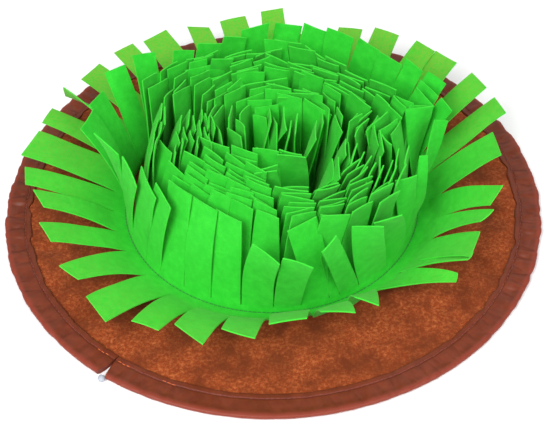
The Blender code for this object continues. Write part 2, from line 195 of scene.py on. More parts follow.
# The casing's topstitching: how far in from the outer edge it runs, the step from one stitch to the next
# for 1 of its length, how thick the thread is, and how high it lies over the felt and arches; how far the
# line wanders, and its turn in that from stitch to stitch, in radians; how far from the notch's middle it
# begins and ends; and between which angles past the notch it is sewn by hand in bright thread
TOPSTITCH = {"inset": 18.9, "pitch": 1.35, "thick": 0.34, "height": 1.25, "arch": 0.45}
TOPSTITCH_WANDER = {"by": 0.35, "turn": 1.7}
NOTCH_CLEAR = 1.2
HAND_STITCHED = ((0, 4), (11, 15), (355, 360))

# How finely a stitch is modelled, and how fast it thins from its middle to its ends, in radians
STITCH_STEPS = 6
STITCH_THINS = 2.2

# The fringe: the middle of its stitch rings, the thickness that the height of the folds is worked out
# with, the width of the slots between strips, the collar's ring, how steeply the two leaves of a band rise
# from its stitch line and how far up each is uncut, the height of the middle of a fold, and how wide a band
# is cut
STITCH_CENTRE = (-1.0, -6.0)
STRIP_THICK = 1.5
SLOT = 1.0
COLLAR_R = 136.0
COLLAR_SHAPE = {"outer_slope": 27.0, "outer_leaf": 12.0, "inner_slope": 80.0, "inner_leaf": 7.0}
BAND_SHAPE = {"outer_slope": 64.0, "outer_leaf": 9.5, "inner_slope": 64.0, "inner_leaf": 9.5}
FOLD_HEIGHT = FELT_THICK + GAP + STRIP_THICK / 2
CUT_WIDTH = {"collar": 190.0, "band": 200.0}

# A strip of the pile: its length, how far its slope falls from its root to its middle and again to its tip,
# how far it may lean, and how wide its tip is for 1 of its root: a share of the room there, within bounds
STRIP_LENGTH = 87.0
STRIP_BEND = 7.0
LARGEST_LEAN = 64.0
CROWDED = {"least": 0.6, "most": 1.0, "share": 0.97}

# The petals, counter-clockwise: each one's share of the ring, its length, its slope at its root and at its
# tip, how far it swings sideways and twists, how far its end is cut askew, and the width of its tip for
# 1 of its width at its root
PETAL_START = -14.5
PETAL_COLUMNS = ("share", "length", "rise", "droop", "swing", "twist", "skew", "taper")
PETALS = (
    (11, 88, 55, 34, -30, 20, 28, 0.65),
    (12.5, 86, 57, 41, -11, 0, -12, 1.0),
    (10, 96, 44, 28, 5, 0, 1, 1.0),
    (10, 96, 51, 35, -1, 0, -2, 1.0),
    (11, 94, 42, 26, 11, 0, 3, 1.0),
    (9, 90, 50, 34, -3, 50, -10, 1.0),
    (11, 90, 42, 26, 7, 0, 4, 1.0),
    (10, 86, 35, 19, 7, 0, -4, 1.0),
    (10, 84, 20, 4, 9, 0, 5, 1.0),
    (10, 90, 48, 32, 12, 0, -1, 0.92),
    (11, 90, 36, 20, 11, 0, 1, 1.0),
    (10, 88, 34, 18, 8, 0, 22, 0.85),
    (12, 92, 36, 20, 11, 0, -1, 0.95),
    (9, 92, 37, 21, 8, 0, 7, 1.0),
    (11, 93, 30, 14, 8, 0, 1, 1.0),
    (9, 93, 33, 15, 8, 70, 0, 0.9),
    (10, 92, 27, 11, 2, 0, -1, 0.85),
    (14, 92, 26, 10, -4, 0, 6, 1.0),
    (10, 86, 36, 12, -3, 0, -10, 0.9),
    (10, 80, 49, 27, 3, 0, -20, 0.8),
    (10, 76, 43, 21, 0, 0, -9, 1.0),
    (13.5, 74, 40, 18, 6, 0, -15, 0.62),
    (13, 74, 35, 11, 0, 0, 13, 1.0),
    (11, 74, 44, 20, 5, -20, -30, 0.75),
    (12.7, 74, 49, 23, 0, 0, 30, 0.97),
    (11.6, 74, 56, 28, -4, 0, 22, 1.0),
    (13.7, 74, 68, 33, -10, 0, -23, 0.85),
    (12, 72, 70, 33, -14, 0, 40, 0.85),
    (11.5, 70, 66, 34, -30, -30, 30, 0.65),
    (12, 76, 50, 20, 16, 34, 0, 0.25),
    (5.5, 78, 48, 34, 6, 0, 0, 0.8),
    (10.7, 78, 54, 32, -10, 0, -19, 1.2),
    (10.6, 84, 58, 36, -20, 0, 30, 0.5),
)

# The strips of the wall, counter-clockwise: as the petals, but each with how far it leans outwards and
# along the ring, and how far its slope falls from its root to its middle and again to its tip
WALL_START = 0.0
WALL_COLUMNS = ("share", "length", "lean", "side", "twist", "skew", "taper", "bend")
WALL = (
    (10, 86, 0.5, 7, -85, 0, 1.15, 5),
    (10, 88, 18, -8, 28, 0, 0.7, 7),
    (9.5, 88, 25, 0, 34, 0, 0.95, 7),
    (9, 88, 17, -3, 20, 4, 1.0, 7),
    (10, 86, 9, -6, 16, 0, 1.1, 7),
    (11, 88, 9, -6, -7, -3, 1.05, 7),
    (11.5, 88, 10, -4, -5, 0, 1.1, 7),
    (11, 86, 12, -6, -10, 2, 1.0, 7),
    (11, 84, 16, -8, 2, -4, 1.05, 7),
    (11, 90, 4, -4, 2, -18, 1.05, 7),
    (11, 87, -1, -7, -3, 3, 0.95, 7),
    (11.5, 86, -1, -8, -14, 0, 0.95, 7),
    (12, 84, 4, -11, -24, 0, 0.75, 7),
    (11.5, 88, 20, -13, -24, 5, 0.85, 7),
    (10.5, 90, 25, -14, -30, 0, 0.9, 7),
    (10.5, 84, 25, -8, -3, 0, 1.1, 7),
    (10.5, 86, 21.5, -6, -10, 0, 1.25, 7),
    (10, 84, 6.5, 1.5, 38, -25, 1.2, 7),
    (10, 82, -3.5, 10, 14, -12, 1.3, 7),
    (13.5, 83, -8, 6, -4, 3, 1.25, 7),
    (9, 84, -9, 4.5, -8, -5, 1.45, 7),
    (12, 91, -17, -5, -8, -6, 1.05, 7),
    (11.6, 89, -17, -2, -14, -6, 1.08, 7),
    (11.5, 87, -14, -1, -20, -5, 1.05, 7),
    (11.8, 82, 8, 7, -31, 0, 1.03, 7),
    (10.2, 79, 14, 5, -19, 0, 1.1, 7),
    (10.8, 88, -8, -5.5, 12, 0, 1.12, 7),
    (4.1, 52, -8, -8, 20, 0, 1.4, 7),
    (8.5, 88, 6, -19, 9, 14, 0.9, 4),
    (14, 84, 5, -13, -45, 0, 0.8, -6),
    (12.5, 82, 4, -21, -42, 0, 0.85, 7),
    (10, 86, -2, -9, -50, 0, 0.85, -4),
    (10, 93, 2, -7, -62, 0, 0.32, -29),
    (10, 86, 11, 16, -73, 0, 0.6, 0),
)

# The bands of the pile, from the collar inwards: the radius of each one's stitch ring, and the number of
# strips in its outer and its inner leaf
BAND_COLUMNS = ("stitch_r", "outer", "inner")
BANDS = (
    (119.5, 29, 27),
    (102.5, 25, 23),
    (85.5, 21, 19),
    (68.5, 17, 15),
    (51.5, 12, 11),
    (34.5, 8, 7),
    (18.0, 5, 3),
)

# How the pile stands: how far all its tips drift, how much they are squeezed from front to back, how far
# each leaf keeps inside the one before it and the first inside the wall, and how much further out the
# pile may come for each degree beside a wall strip
DRIFT = (2.0, 11.0)
SQUEEZE = 0.07
ROW_STEP = 6.2
WALL_FLARE = 1.2

# Clumps that push the tips apart, a place where the strips are combed towards one azimuth, and the ripple
CLUMP_COLUMNS = ("x", "y", "reach", "push")
CLUMPS = (
    (24, -44, 44, 25),
    (-112, -10, 26, 8),
)
COMB = {"x": 30.0, "y": -30.0, "reach": 30.0, "azimuth": 95.0, "share": 0.35}
RIPPLE = {"size": 2.2, "pitch": 36.0, "turns": 2}

# Where the first strip of each leaf of the pile begins, and how far a strip may wander from its like
PARTING = 285.0
WANDER = {"share": 0.12, "lean": 1.5, "twist": 9.0, "skew": 5.0, "length": 3.5}

# Stacks of strips whose tips lie on each other like pages: the outermost leaf, how many leaves, the
# azimuths of the roots between which they stand, the line of the outermost tips (counter-clockwise), how
# far in each next leaf lies, how far each strip is turned out of the line, and how far it bends over.
# Leaves count from the wall inwards, and a strip that two stacks hold stands in the later one
STACK_COLUMNS = ("leaf", "leaves", "begin", "end", "x0", "y0", "x1", "y1", "step", "turn", "bend")
STACKS = (
    (1, 2, 272, 285, 11, -123, 36, -115, 5.0, 0, 7),
    (3, 6, 272, 285, 10, -108, 35, -109, 5.0, 0, 7),
    (1, 2, 285, 300, 38, -122, 68, -116, 5.0, 0, 7),
    (3, 6, 285, 300, 39, -111, 63, -101, 5.0, 0, 7),
    (9, 2, 262, 300, -8, -67, 16, -65, 5.0, 0, 7),
    (11, 2, 250, 318, -15, -37, 25, -46, 4.5, 0, 7),
    (1, 8, 300, 321, 66, -111, 101, -91, 6.5, 6, 7),
    (9, 2, 300, 345, 56, -61, 70, -29, 5.0, 10, 7),
    (1, 8, 321, 346, 103, -89, 116, -45, 6.5, -8, 7),
    (5, 4, 346, 357, 92, -34, 96, -12, 6.0, 10, 8),
    (5, 4, 357, 392, 74, -14, 96, 8, 4.5, 0, 6),
    (4, 1, 334, 350, 90, -67, 96, -45, 4.0, 0, 6),
    (4, 1, 350, 364, 82, -14, 102, 5, 4.0, 0, 6),
    (4, 1, 4, 30, 116, 4, 98, 28, 4.0, 0, 6),
    (3, 1, 342, 356, 102, -38, 98, -24, 4.0, 0, 6),
    (3, 1, 356, 370, 89, -7, 107, 5, 4.0, 0, 6),
    (3, 1, 9, 24, 119, 12, 107, 27, 4.0, 0, 5),
    (2, 1, 348, 360, 92, -17, 116, 2, 4.0, 0, 5),
    (2, 1, 360, 373, 124, 15, 112, 31, 4.0, 0, 5),
    (2, 1, 14, 27, 144, 25, 130, 43, 4.0, 0, 4),
    (1, 1, 349, 361, 106, -19, 118, 3, 4.0, 0, 5),
    (1, 1, 361, 373, 122, 17, 146, 21, 4.0, 0, 5),
    (1, 1, 13, 25, 152, 38, 137, 57, 4.0, 0, 4),
    (1, 2, 26, 50, 113, 39, 68, 68, 4.0, 0, 7),
    (3, 4, 28, 50, 98, 32, 66, 62, 6.5, 0, 7),
    (1, 2, 50, 68, 70, 73, 42, 97, 4.0, 0, 7),
    (3, 2, 50, 88, 66, 63, 4, 92, 4.0, 0, 7),
    (5, 2, 50, 76, 58, 54, 22, 71, 5.0, 0, 7),
    (1, 2, 68, 90, 42, 99, -2, 124, 4.0, 0, 7),
    (1, 2, 90, 116, 4, 102, -51, 94, 3.0, 0, 7),
    (1, 2, 116, 134, -54, 97, -80, 85, 3.0, 0, 7),
    (3, 2, 88, 118, -6, 92, -47, 84, 3.5, 0, 7),
    (3, 2, 118, 138, -50, 88, -76, 79, 3.5, 0, 7),
    (5, 1, 76, 96, 21, 78, -9, 83, 3.0, 0, 7),
    (6, 1, 76, 96, 21, 71, -6, 75, 3.0, 0, 7),
    (5, 2, 96, 114, -6, 76, -39, 71, 3.0, 0, 7),
    (5, 2, 114, 136, -38, 70, -65, 58, 3.0, 0, 7),
    (7, 1, 46, 78, 54, 48, 22, 65, 3.0, 0, 7),
    (7, 1, 78, 102, 12, 57, -16, 61, 3.0, 0, 7),
    (8, 2, 40, 96, 47, 32, -4, 50, 4.0, 0, 7),
    (8, 2, 96, 114, -4, 55, -33, 53, 3.0, 0, 7),
    (7, 3, 114, 140, -33, 55, -52, 41, 4.0, 0, 7),
    (10, 2, 96, 125, -5, 42, -28, 32, 3.0, 0, 7),
    (10, 1, 60, 96, 22, 32, 1, 36, 3.0, 0, 7),
    (11, 1, 28, 62, 47, 15, 22, 31, 3.0, 0, 7),
    (12, 1, 80, 130, 1, 27, -21, 27, 3.0, 0, 7),
    (11, 1, 335, 370, 56, -15, 58, 9, 3.0, 0, 5),
    (12, 1, 345, 380, 45, -1, 47, 23, 3.0, 0, 5),
    (13, 1, 300, 342, 36, -27, 37, -5, 3.0, 0, 5),
    (13, 1, 10, 56, 20, -11, 22, 11, 3.0, 0, 5),
    (13, 1, 85, 125, 9, -9, 11, 13, 3.0, 0, 5),
    (13, 1, 157, 197, -3, 1, -1, 23, 3.0, 0, 5),
    (13, 1, 229, 269, 1, -6, 2, 16, 3.0, 0, 5),
    (14, 1, 325, 365, 14, -21, 15, 1, 3.0, 0, 5),
    (1, 2, 160, 205, -99, 25, -107, -47, 4.0, 0, 7),
    (1, 1, 198, 210, -101, -16, -88, -39, 4.0, 0, 4),
    (3, 6, 160, 205, -80, 20, -83, -35, 5.5, 6, 7),
    (1, 8, 205, 272, -94, -57, 3, -123, 5.6, 0, 7),
    (9, 2, 205, 262, -52, -27, -8, -59, 5.0, 0, 7),
)

# How far each strip of a stack is turned to lie on the next, and how far its tip may lie off its place
SHINGLE = 5.0
SCATTER = {"along": 1.6, "across": 1.2}

# The stitches in the collar's fold: how long each is, from one to the next, how thick the thread is, and
# how high it arches. The seam is real, but its dark green thread stands in for the shade in the fold's
# crease: painted shade
COLLAR_STITCH = {"length": 3.4, "pitch": 3.9, "thick": 0.5, "arch": 0.3}

# How finely a strip is modelled: steps along it, points across it, and steps up its leaf
STEPS = 16
ACROSS = 5
LEAF_STEPS = 3

# How much a strip curls at most: a bow across its width, an S along its length and waves at its edges, in
# millimetres or degrees. Then the share of its length in which it leaves the leaf's slope, how soon the bow
# is full, as 1 over a share of its length, and how many waves its edges have
CURL = {"cup": 1.1, "crook": 5.0, "wave": 0.8}
CURL_FORM = {"root_share": 0.03, "bow_begins": 3, "waves": 1.2}

# How far the middle of a cut edge stands out, the angle from which an edge is drawn sharp, and the seeds of
# the random draws
RIM_BULGE = 0.3
SHARP_EDGE = 40.0
SEEDS = {"petals": 3, "wall": 4, "pile": 20, "curl": 50}

# Where light passing through a petal is painted into its colour, as a painted glow: how far out of the collar
# it begins, for 1 of height, over how many millimetres it grows, how much there is in front, how much more at
# the back, and how far back that is
PAINTED_LIGHT_THROUGH = {"slant": 0.6, "grows": 30, "front": 0.35, "back": 0.6, "back_y": 150}

# The view: how high the camera stands over the horizon, how far it is from the place it aims at, its roll
# and that place; its lens and sensor; and how far the floor reaches each way
CAMERA = {"elevation": 45.93, "distance": 1050.0, "roll": -0.78, "aim": (1.94, -18.16, 0.0)}
CAMERA_LENS = 73.5
CAMERA_SENSOR = 36.0
FLOOR_HALF = 6000.0

# The lights: where each stands, how wide it is, and its power as a share of the main light's
LIGHT_COLUMNS = ("name", "x", "y", "z", "width", "share")
LIGHTS = (
    ("key", -750, -1150, 1400, 1000, 1.0),
    ("fill", 850, -1100, 1400, 1300, 0.62),
    ("back", 100, 1200, 1300, 1300, 0.2),
)


def linear(hex_colour):
    """An sRGB hex colour as linear numbers, by the sRGB curve."""
    parts = np.array([int(hex_colour[i : i + 2], 16) for i in (1, 3, 5)]) / 255
    made = np.where(parts <= 0.04045, parts / 12.92, ((parts + 0.055) / 1.055) ** 2.4)
    return tuple(float(x) for x in made)


# ---------------------------------------------------------------- settings


def colour(name, description, hex_colour):
    """A colour setting, given as an sRGB hex value."""
    return FloatVectorProperty(
        name=name, description=description, subtype="COLOR", size=3, min=0, max=1, default=linear(hex_colour)
    )


class FringeSettings(bpy.types.PropertyGroup):
    strip_thickness: FloatProperty(
        name="Strip thickness",
        description="Thickness of the green felt",
        default=1.3 * MM,
        unit="LENGTH",
    )
    felt: colour("Green felt", "Colour of the green felt's face", "#36CC34")
    felt_shade: colour("Green felt, darker", "Colour of the thinner clouds in the green felt", "#26BB2A")
    # Painted glow: the colour in which light passing through a petal is painted
    painted_light_through_colour: colour("Green felt, lit through", "Colour of a single layer with light behind it", "#74B036")
    # Painted highlight: the cut edges are painted in this paler colour, where loose fibres catch the light
    painted_edge_highlight: colour("Cut edge", "Colour of its cut edge, where loose fibres catch the light", "#40CE38")
    # Painted shade: this thread is darker than the felt, and in the collar's crease it stands in for the
    # shade there
    thread: colour("Green thread", "Colour of the thread that sews the strips down", "#1B8426")


class GroundSettings(bpy.types.PropertyGroup):
    felt: colour("Rust felt", "Colour of the felt disc", "#9C3F16")
    felt_dark: colour("Rust felt, dark", "Colour of its dark fibres", "#6E2C0E")
    fleck: colour("Flecks", "Colour of its bright orange fibres", "#DC7C46")
    dent_depth: FloatProperty(
        name="Dents", description="How deep the felt's creases are, as a share", default=1.8, min=0, max=3
    )


class CasingSettings(bpy.types.PropertyGroup):
    cloth: colour("Casing cloth", "Colour of the coated taffeta", "#77341F")
    # Painted highlight: the rounded lip is painted lighter and redder than the cloth
    lip: colour("Casing lip", "Colour of the cloth stretched over the cord", "#843828")
    sheen: colour("Casing sheen", "Colour of the cloth's dull shine", "#C9A5A5")
    thread: colour("Thread", "Colour of the topstitching", "#7A3328")
    knot_thread: colour("Bright thread", "Colour of the closing stitches at the notch", "#D9662B")
    cord: colour("Cord", "Colour of the drawcord's end", "#B3B9C4")
    pucker_height: FloatProperty(
        name="Puckers", description="How high the gathers stand", default=3.2 * MM, unit="LENGTH"
    )
    stitch_length: FloatProperty(
        name="Stitch", description="Length of one topstitch", default=3.2 * MM, unit="LENGTH"
    )


class StageSettings(bpy.types.PropertyGroup):
    floor: colour("Floor", "Colour of the plain floor", "#FFFFFF")
    key_power: FloatProperty(name="Key light", description="Power of the main light, in watts", default=33.5)
    sky: FloatProperty(name="Sky", description="Strength of the even light from all round", default=0.3)


# ---------------------------------------------------------------- surfaces


def unit(vectors):
    """Vectors divided by their length."""
    return vectors / np.maximum(np.linalg.norm(vectors, axis=-1, keepdims=True), 1e-9)


def circle(radius, azimuth, height=0.0, centre=(0.0, 0.0)):
    """Points round a centre: x = radius cos azimuth, y = radius sin azimuth, z = height."""
    angle = np.radians(azimuth)
    x, y = centre[0] + radius * np.cos(angle), centre[1] + radius * np.sin(angle)
    return np.stack(np.broadcast_arrays(x, y, height), axis=-1).astype(float)


def table(columns, lines):
    """A table's columns as arrays."""
    return dict(zip(columns, np.transpose(np.array(lines, float))))


def grid_faces(rows, columns, wrap=False):
    """Quads between neighbours in a grid of rows by columns. Its last column may be joined to its first."""
    first = np.arange(rows * columns).reshape(rows, columns)
    after = np.roll(first, -1, axis=1)
    quads = np.stack([first[:-1], after[:-1], after[1:], first[1:]], axis=-1)
    return quads if wrap else quads[:, :-1]


def thicken(points, faces, thickness):
    """A closed sheet from an open surface.

    Each point is moved half the thickness both ways along the mean normal of its faces, and the two skins
    are joined by a rim that stands out a little along its middle. Returns points, quads, and 1 at the rim's
    points.
    """
    corners = points[faces]
    normals = np.cross(corners[:, 2] - corners[:, 0], corners[:, 3] - corners[:, 1])
    at_points = np.zeros_like(points)
    np.add.at(at_points, faces.ravel(), np.repeat(normals, 4, axis=0))
    at_points = unit(at_points)
    edges = np.stack([faces, np.roll(faces, -1, axis=1)], axis=-1).reshape(-1, 2)
    count = len(points)
    rim = edges[~np.isin(edges[:, 0] * count + edges[:, 1], edges[:, 1] * count + edges[:, 0])]
    outwards = np.cross(points[rim[:, 1]] - points[rim[:, 0]], at_points[rim[:, 0]] + at_points[rim[:, 1]])
    push = np.zeros_like(points)
    np.add.at(push, rim.ravel(), np.repeat(unit(outwards), 2, axis=0))
    used = np.unique(rim)
    place = np.zeros(count, int)
    place[used] = 2 * count + np.arange(len(used))
    half = at_points * thickness / 2
    made = np.concatenate([points + half, points - half, points[used] + unit(push[used]) * RIM_BULGE])
    a, b = rim[:, 0], rim[:, 1]
    upper = np.stack([b, a, place[a], place[b]], axis=1)
    lower = np.stack([place[b], place[a], a + count, b + count], axis=1)
    quads = np.concatenate([faces, faces[:, ::-1] + count, upper, lower])
    at_rim = np.concatenate([np.zeros(2 * count), np.ones(len(used))])
    return made, quads, at_rim


def show(name, data):
    """A new object of this data in the scene."""
    made = bpy.data.objects.new(name, data)
    bpy.context.scene.collection.objects.link(made)
    return made


def add_piece(name, points, faces, finish, replaces=(), marks=None, triangles=None):
    """A mesh object from points in millimetres, smooth but for its sharp edges, with marks at its points."""
    data = bpy.data.meshes.new(name)
    data.vertices.add(len(points))
    data.vertices.foreach_set("co", (points * MM).astype(np.float32).ravel())
    kinds = [np.asarray(faces, np.int32).reshape(-1, 4)]
    if triangles is not None:
        kinds.append(np.asarray(triangles, np.int32).reshape(-1, 3))
    sizes = np.concatenate([np.full(len(kind), kind.shape[1]) for kind in kinds])
    loops = np.concatenate([kind.ravel() for kind in kinds])
    data.loops.add(len(loops))
    data.loops.foreach_set("vertex_index", loops.astype(np.int32))
    data.polygons.add(len(sizes))
    data.polygons.foreach_set("loop_start", (np.cumsum(sizes) - sizes).astype(np.int32))
    data.polygons.foreach_set("use_smooth", np.ones(len(sizes), bool))
    data.update(calc_edges=True)
    for mark, values in (marks or {}).items():
        data.attributes.new(mark, "FLOAT", "POINT").data.foreach_set("value", values.astype(np.float32))
    if data.validate():
        raise RuntimeError(f"{name} has faulty faces")
    data.set_sharp_from_angle(angle=math.radians(SHARP_EDGE))
    data.materials.append(finish)
    made = show(name, data)
    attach(made, BODY)
    if replaces:
        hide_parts(*replaces)
    return made


# ---------------------------------------------------------------- fringe


def cuts(shares, start):
    """Azimuths where each strip begins and ends: start + 360 times the running sum of the shares."""
    edges = start + 360.0 * np.concatenate([[0.0], np.cumsum(shares)]) / np.sum(shares)
    return edges[:-1], edges[1:]


def leaf_edge(stitch_r, shape, side):
    """Radius and height of the cut edge of a band's outer or inner leaf, at the middle of its thickness."""
    slope, leaf = math.radians(shape[side + "_slope"]), shape[side + "_leaf"]
    out = leaf * math.cos(slope) if side == "outer" else -leaf * math.cos(slope)
    return stitch_r + out, FOLD_HEIGHT + leaf * math.sin(slope)


def strip_grid(strips, root_a, root_b, leaf_slope):
    """The face of every strip of a leaf, as an array of strips by steps by points across.

    The middle line is the running sum of its direction, which lies in the upright plane of the strip's
    heading. Its slope goes from the leaf's to rise within the first millimetres, on evenly to droop, and
    sways by an S of crook. The width lies along the ring, square to the middle line, and turns round it
    evenly by twist. Across it the strip bows by cup, and its edges wave. Its end is slanted by skew.
    """
    u = np.linspace(0, 1, STEPS + 1)[None, :]
    v = np.linspace(-1, 1, ACROSS)
    of = {key: value[:, None] for key, value in strips.items() if np.ndim(value) == 1}
    slope = of["rise"] + (of["droop"] - of["rise"]) * u + of["crook"] * np.sin(2 * np.pi * u)
    slope = slope + (leaf_slope - of["rise"]) * np.exp(-u / CURL_FORM["root_share"])
    slope = np.radians(slope)[..., None]
    up = np.array([0.0, 0.0, 1.0])
    along = strips["heading"][:, None] * np.cos(slope) + up * np.sin(slope)
    steps = (along[:, 1:] + along[:, :-1]) / 2 * (strips["length"] / STEPS)[:, None, None]
    middle = np.cumsum(np.concatenate([((root_a + root_b) / 2)[:, None], steps], axis=1), axis=1)
    chord = root_b - root_a
    across = unit(chord)[:, None]
    across = unit(across - along * np.sum(along * across, axis=-1, keepdims=True))
    normal = np.cross(along, across)
    turn = np.radians(of["twist"] * u)[..., None]
    turned = across * np.cos(turn) + normal * np.sin(turn)
    normal = normal * np.cos(turn) - across * np.sin(turn)
    half = np.linalg.norm(chord, axis=1)[:, None] / 2 * (1 + (of["taper"] - 1) * u)
    side = half[..., None] * v
    bow = of["cup"][..., None] * (v**2 - 1 / 3) * np.minimum(1, CURL_FORM["bow_begins"] * u)[..., None]
    wave = (of["wave"] * u * np.sin(2 * np.pi * (CURL_FORM["waves"] * u + of["phase"])))[..., None] * v
    slant = side * np.tan(np.radians(of["skew"]))[..., None] * (u**2)[..., None]
    return (
        middle[:, :, None]
        + turned[:, :, None] * side[..., None]
        + normal[:, :, None] * (bow + wave)[..., None]
        + along[:, :, None] * slant[..., None]
    )


def cut_leaf(strips, start, stitch_r, shape, side, aim):
    """One leaf of a band: a sheet that rises from the stitch line and is cut into strips down to its edge.

    Its columns run from the stitch line up each strip, and below the edge they are joined across the slots.
    The strips start from the edge, and what they are off it there dies out up them as (1 - u) cubed. How they
    stand is set by aim, from the two ends of each root and its azimuth.
    """
    radius, height = leaf_edge(stitch_r, shape, side)
    begin, end = cuts(strips["share"], start)
    half_slot = math.degrees(SLOT / 2 / radius)
    across = np.linspace(0, 1, ACROSS)
    azimuth = (begin + half_slot)[:, None] * (1 - across) + (end - half_slot)[:, None] * across
    crease = circle(stitch_r, azimuth, FOLD_HEIGHT, STITCH_CENTRE)
    edge = circle(radius, azimuth, height, STITCH_CENTRE)
    strips = aim(strips, edge[:, 0], edge[:, -1], azimuth.mean(axis=1))
    grid = strip_grid(strips, edge[:, 0], edge[:, -1], shape[side + "_slope"])
    u = np.linspace(0, 1, STEPS + 1)[None, :, None, None]
    grid = grid + (edge[:, None] - grid[:, :1]) * (1 - u) ** 3
    rise = np.linspace(0, 1, LEAF_STEPS + 1)[:-1, None, None, None]
    leaf = crease[None] + (edge - crease)[None] * rise
    points = np.concatenate([leaf, np.swapaxes(grid, 0, 1)])
    rows, count = points.shape[0], points.shape[1] * ACROSS
    quads = grid_faces(rows, count, wrap=True)
    in_strip = np.arange(count) % ACROSS != ACROSS - 1
    keep = (np.arange(rows - 1) < LEAF_STEPS)[:, None] | in_strip[None, :]
    faces = quads[keep]
    return points.reshape(-1, 3), faces if side == "inner" else faces[:, ::-1]


# The radius of each leaf's cut edge in the pile, counted from the wall inwards
LEAF_RADII = [leaf_edge(band[0], BAND_SHAPE, side)[0] for band in BANDS for side in ("outer", "inner")]


def outward_at(azimuth):
    """The directions away from the stitch centre and along the ring, at these azimuths."""
    return circle(1.0, azimuth), circle(1.0, np.asarray(azimuth) + 90.0)


def aim_petals(strips, root_a, root_b, azimuth):
    """A petal leaves its root outwards, turned sideways by its swing."""
    return dict(strips, heading=circle(1.0, azimuth + strips["swing"]))


def upright(strips, shift, bend=STRIP_BEND):
    """Strips that stand up and whose tips are carried sideways by this shift, bending more as they climb."""
    reach = np.linalg.norm(shift, axis=1)
    slope = np.degrees(np.arccos(np.clip(reach / strips["length"], 0, math.sin(math.radians(LARGEST_LEAN)))))
    return dict(strips, heading=unit(shift), rise=slope + bend, droop=slope - bend)


def aim_wall(strips, root_a, root_b, azimuth):
    """A strip of the wall leans out by lean, and along the ring by side."""
    outward, along_ring = outward_at(azimuth)
    out = (strips["length"] * np.sin(np.radians(strips["lean"])))[:, None]
    along = (strips["length"] * np.sin(np.radians(strips["side"])))[:, None]
    return upright(strips, outward * out + along_ring * along, strips["bend"])


def wall_reach(azimuth):
    """How far out the pile may come at these azimuths about the stitch centre, inside the wall's tips."""
    edge, _ = leaf_edge(COLLAR_R, COLLAR_SHAPE, "inner")
    wall = table(WALL_COLUMNS, WALL)
    out = edge + wall["length"] * np.sin(np.radians(wall["lean"]))
    along_ring = wall["length"] * np.sin(np.radians(wall["side"]))
    begin, end = cuts(wall["share"], WALL_START)
    middles = (begin + end) / 2 + np.degrees(np.arctan2(along_ring, out))
    half = wall["share"] / 2 * wall["taper"]
    inner = out - edge * np.radians(half) * np.abs(np.sin(np.radians(wall["twist"])))
    beyond = np.abs((azimuth[:, None] - middles + 180) % 360 - 180) - half
    return np.min(inner + WALL_FLARE * np.maximum(beyond, 0), axis=1)


def nearness(points, place):
    """1 at the middle of a place in the pile, falling as a bell over its reach, and the way from there."""
    away = points[:, :2] - (place["x"], place["y"])
    distance = np.maximum(np.linalg.norm(away, axis=1), 1.0)
    return np.exp(-((distance / place["reach"]) ** 2))[:, None], away / distance[:, None]


def carried(points, rank):
    """Where the pile carries the tips of strips rooted at these points, rank rows inside the wall.

    All of it drifts and is squeezed a little from front to back, clumps push it apart, a ripple runs through
    it, and the wall keeps it in.
    """
    there = points[:, :2] + DRIFT - [0, SQUEEZE] * points[:, :2]
    for clump in CLUMPS:
        place = dict(zip(CLUMP_COLUMNS, clump))
        near, away = nearness(points, place)
        there = there + near * place["push"] * away
    out = there - STITCH_CENTRE
    radius, angle = np.linalg.norm(out, axis=1), np.arctan2(out[:, 1], out[:, 0])
    radius = radius + RIPPLE["size"] * np.sin(2 * np.pi * radius / RIPPLE["pitch"] + RIPPLE["turns"] * angle)
    radius = np.minimum(radius, wall_reach(np.degrees(angle)) - rank * ROW_STEP)
    return circle(radius, np.degrees(angle), points[:, 2], STITCH_CENTRE)


def stacked(stack, strips, root, azimuth):
    """Which strips stand in a stack, their tips, the direction of its line and the room that each tip has.

    The outermost tips lie evenly on the line. Each leaf further in has its own line, moved in by step and
    shortened as its ring is smaller.
    """
    middles = (azimuth - stack["begin"]) % 360
    layer = strips["rank"] - stack["leaf"]
    span = stack["end"] - stack["begin"]
    within = (middles < span) & (layer >= 0) & (layer < stack["leaves"])
    start, stop = np.array([stack["x0"], stack["y0"], 0.0]), np.array([stack["x1"], stack["y1"], 0.0])
    along = unit(stop - start)
    inwards = np.array([-along[1], along[0], 0.0])
    smaller = np.linalg.norm(root[:, :2] - STITCH_CENTRE, axis=1) / LEAF_RADII[stack["leaf"] - 1]
    length = np.linalg.norm(stop - start) * smaller
    place = (middles / span - 0.5) * length + strips["slide"]
    off = layer * stack["step"] + strips["step_in"]
    tips = (start + stop) / 2 + along * place[:, None] + inwards * off[:, None]
    tips[:, 2] = root[:, 2]
    return within, tips, along, length / span * strips["share"] / strips["share"].sum() * 360


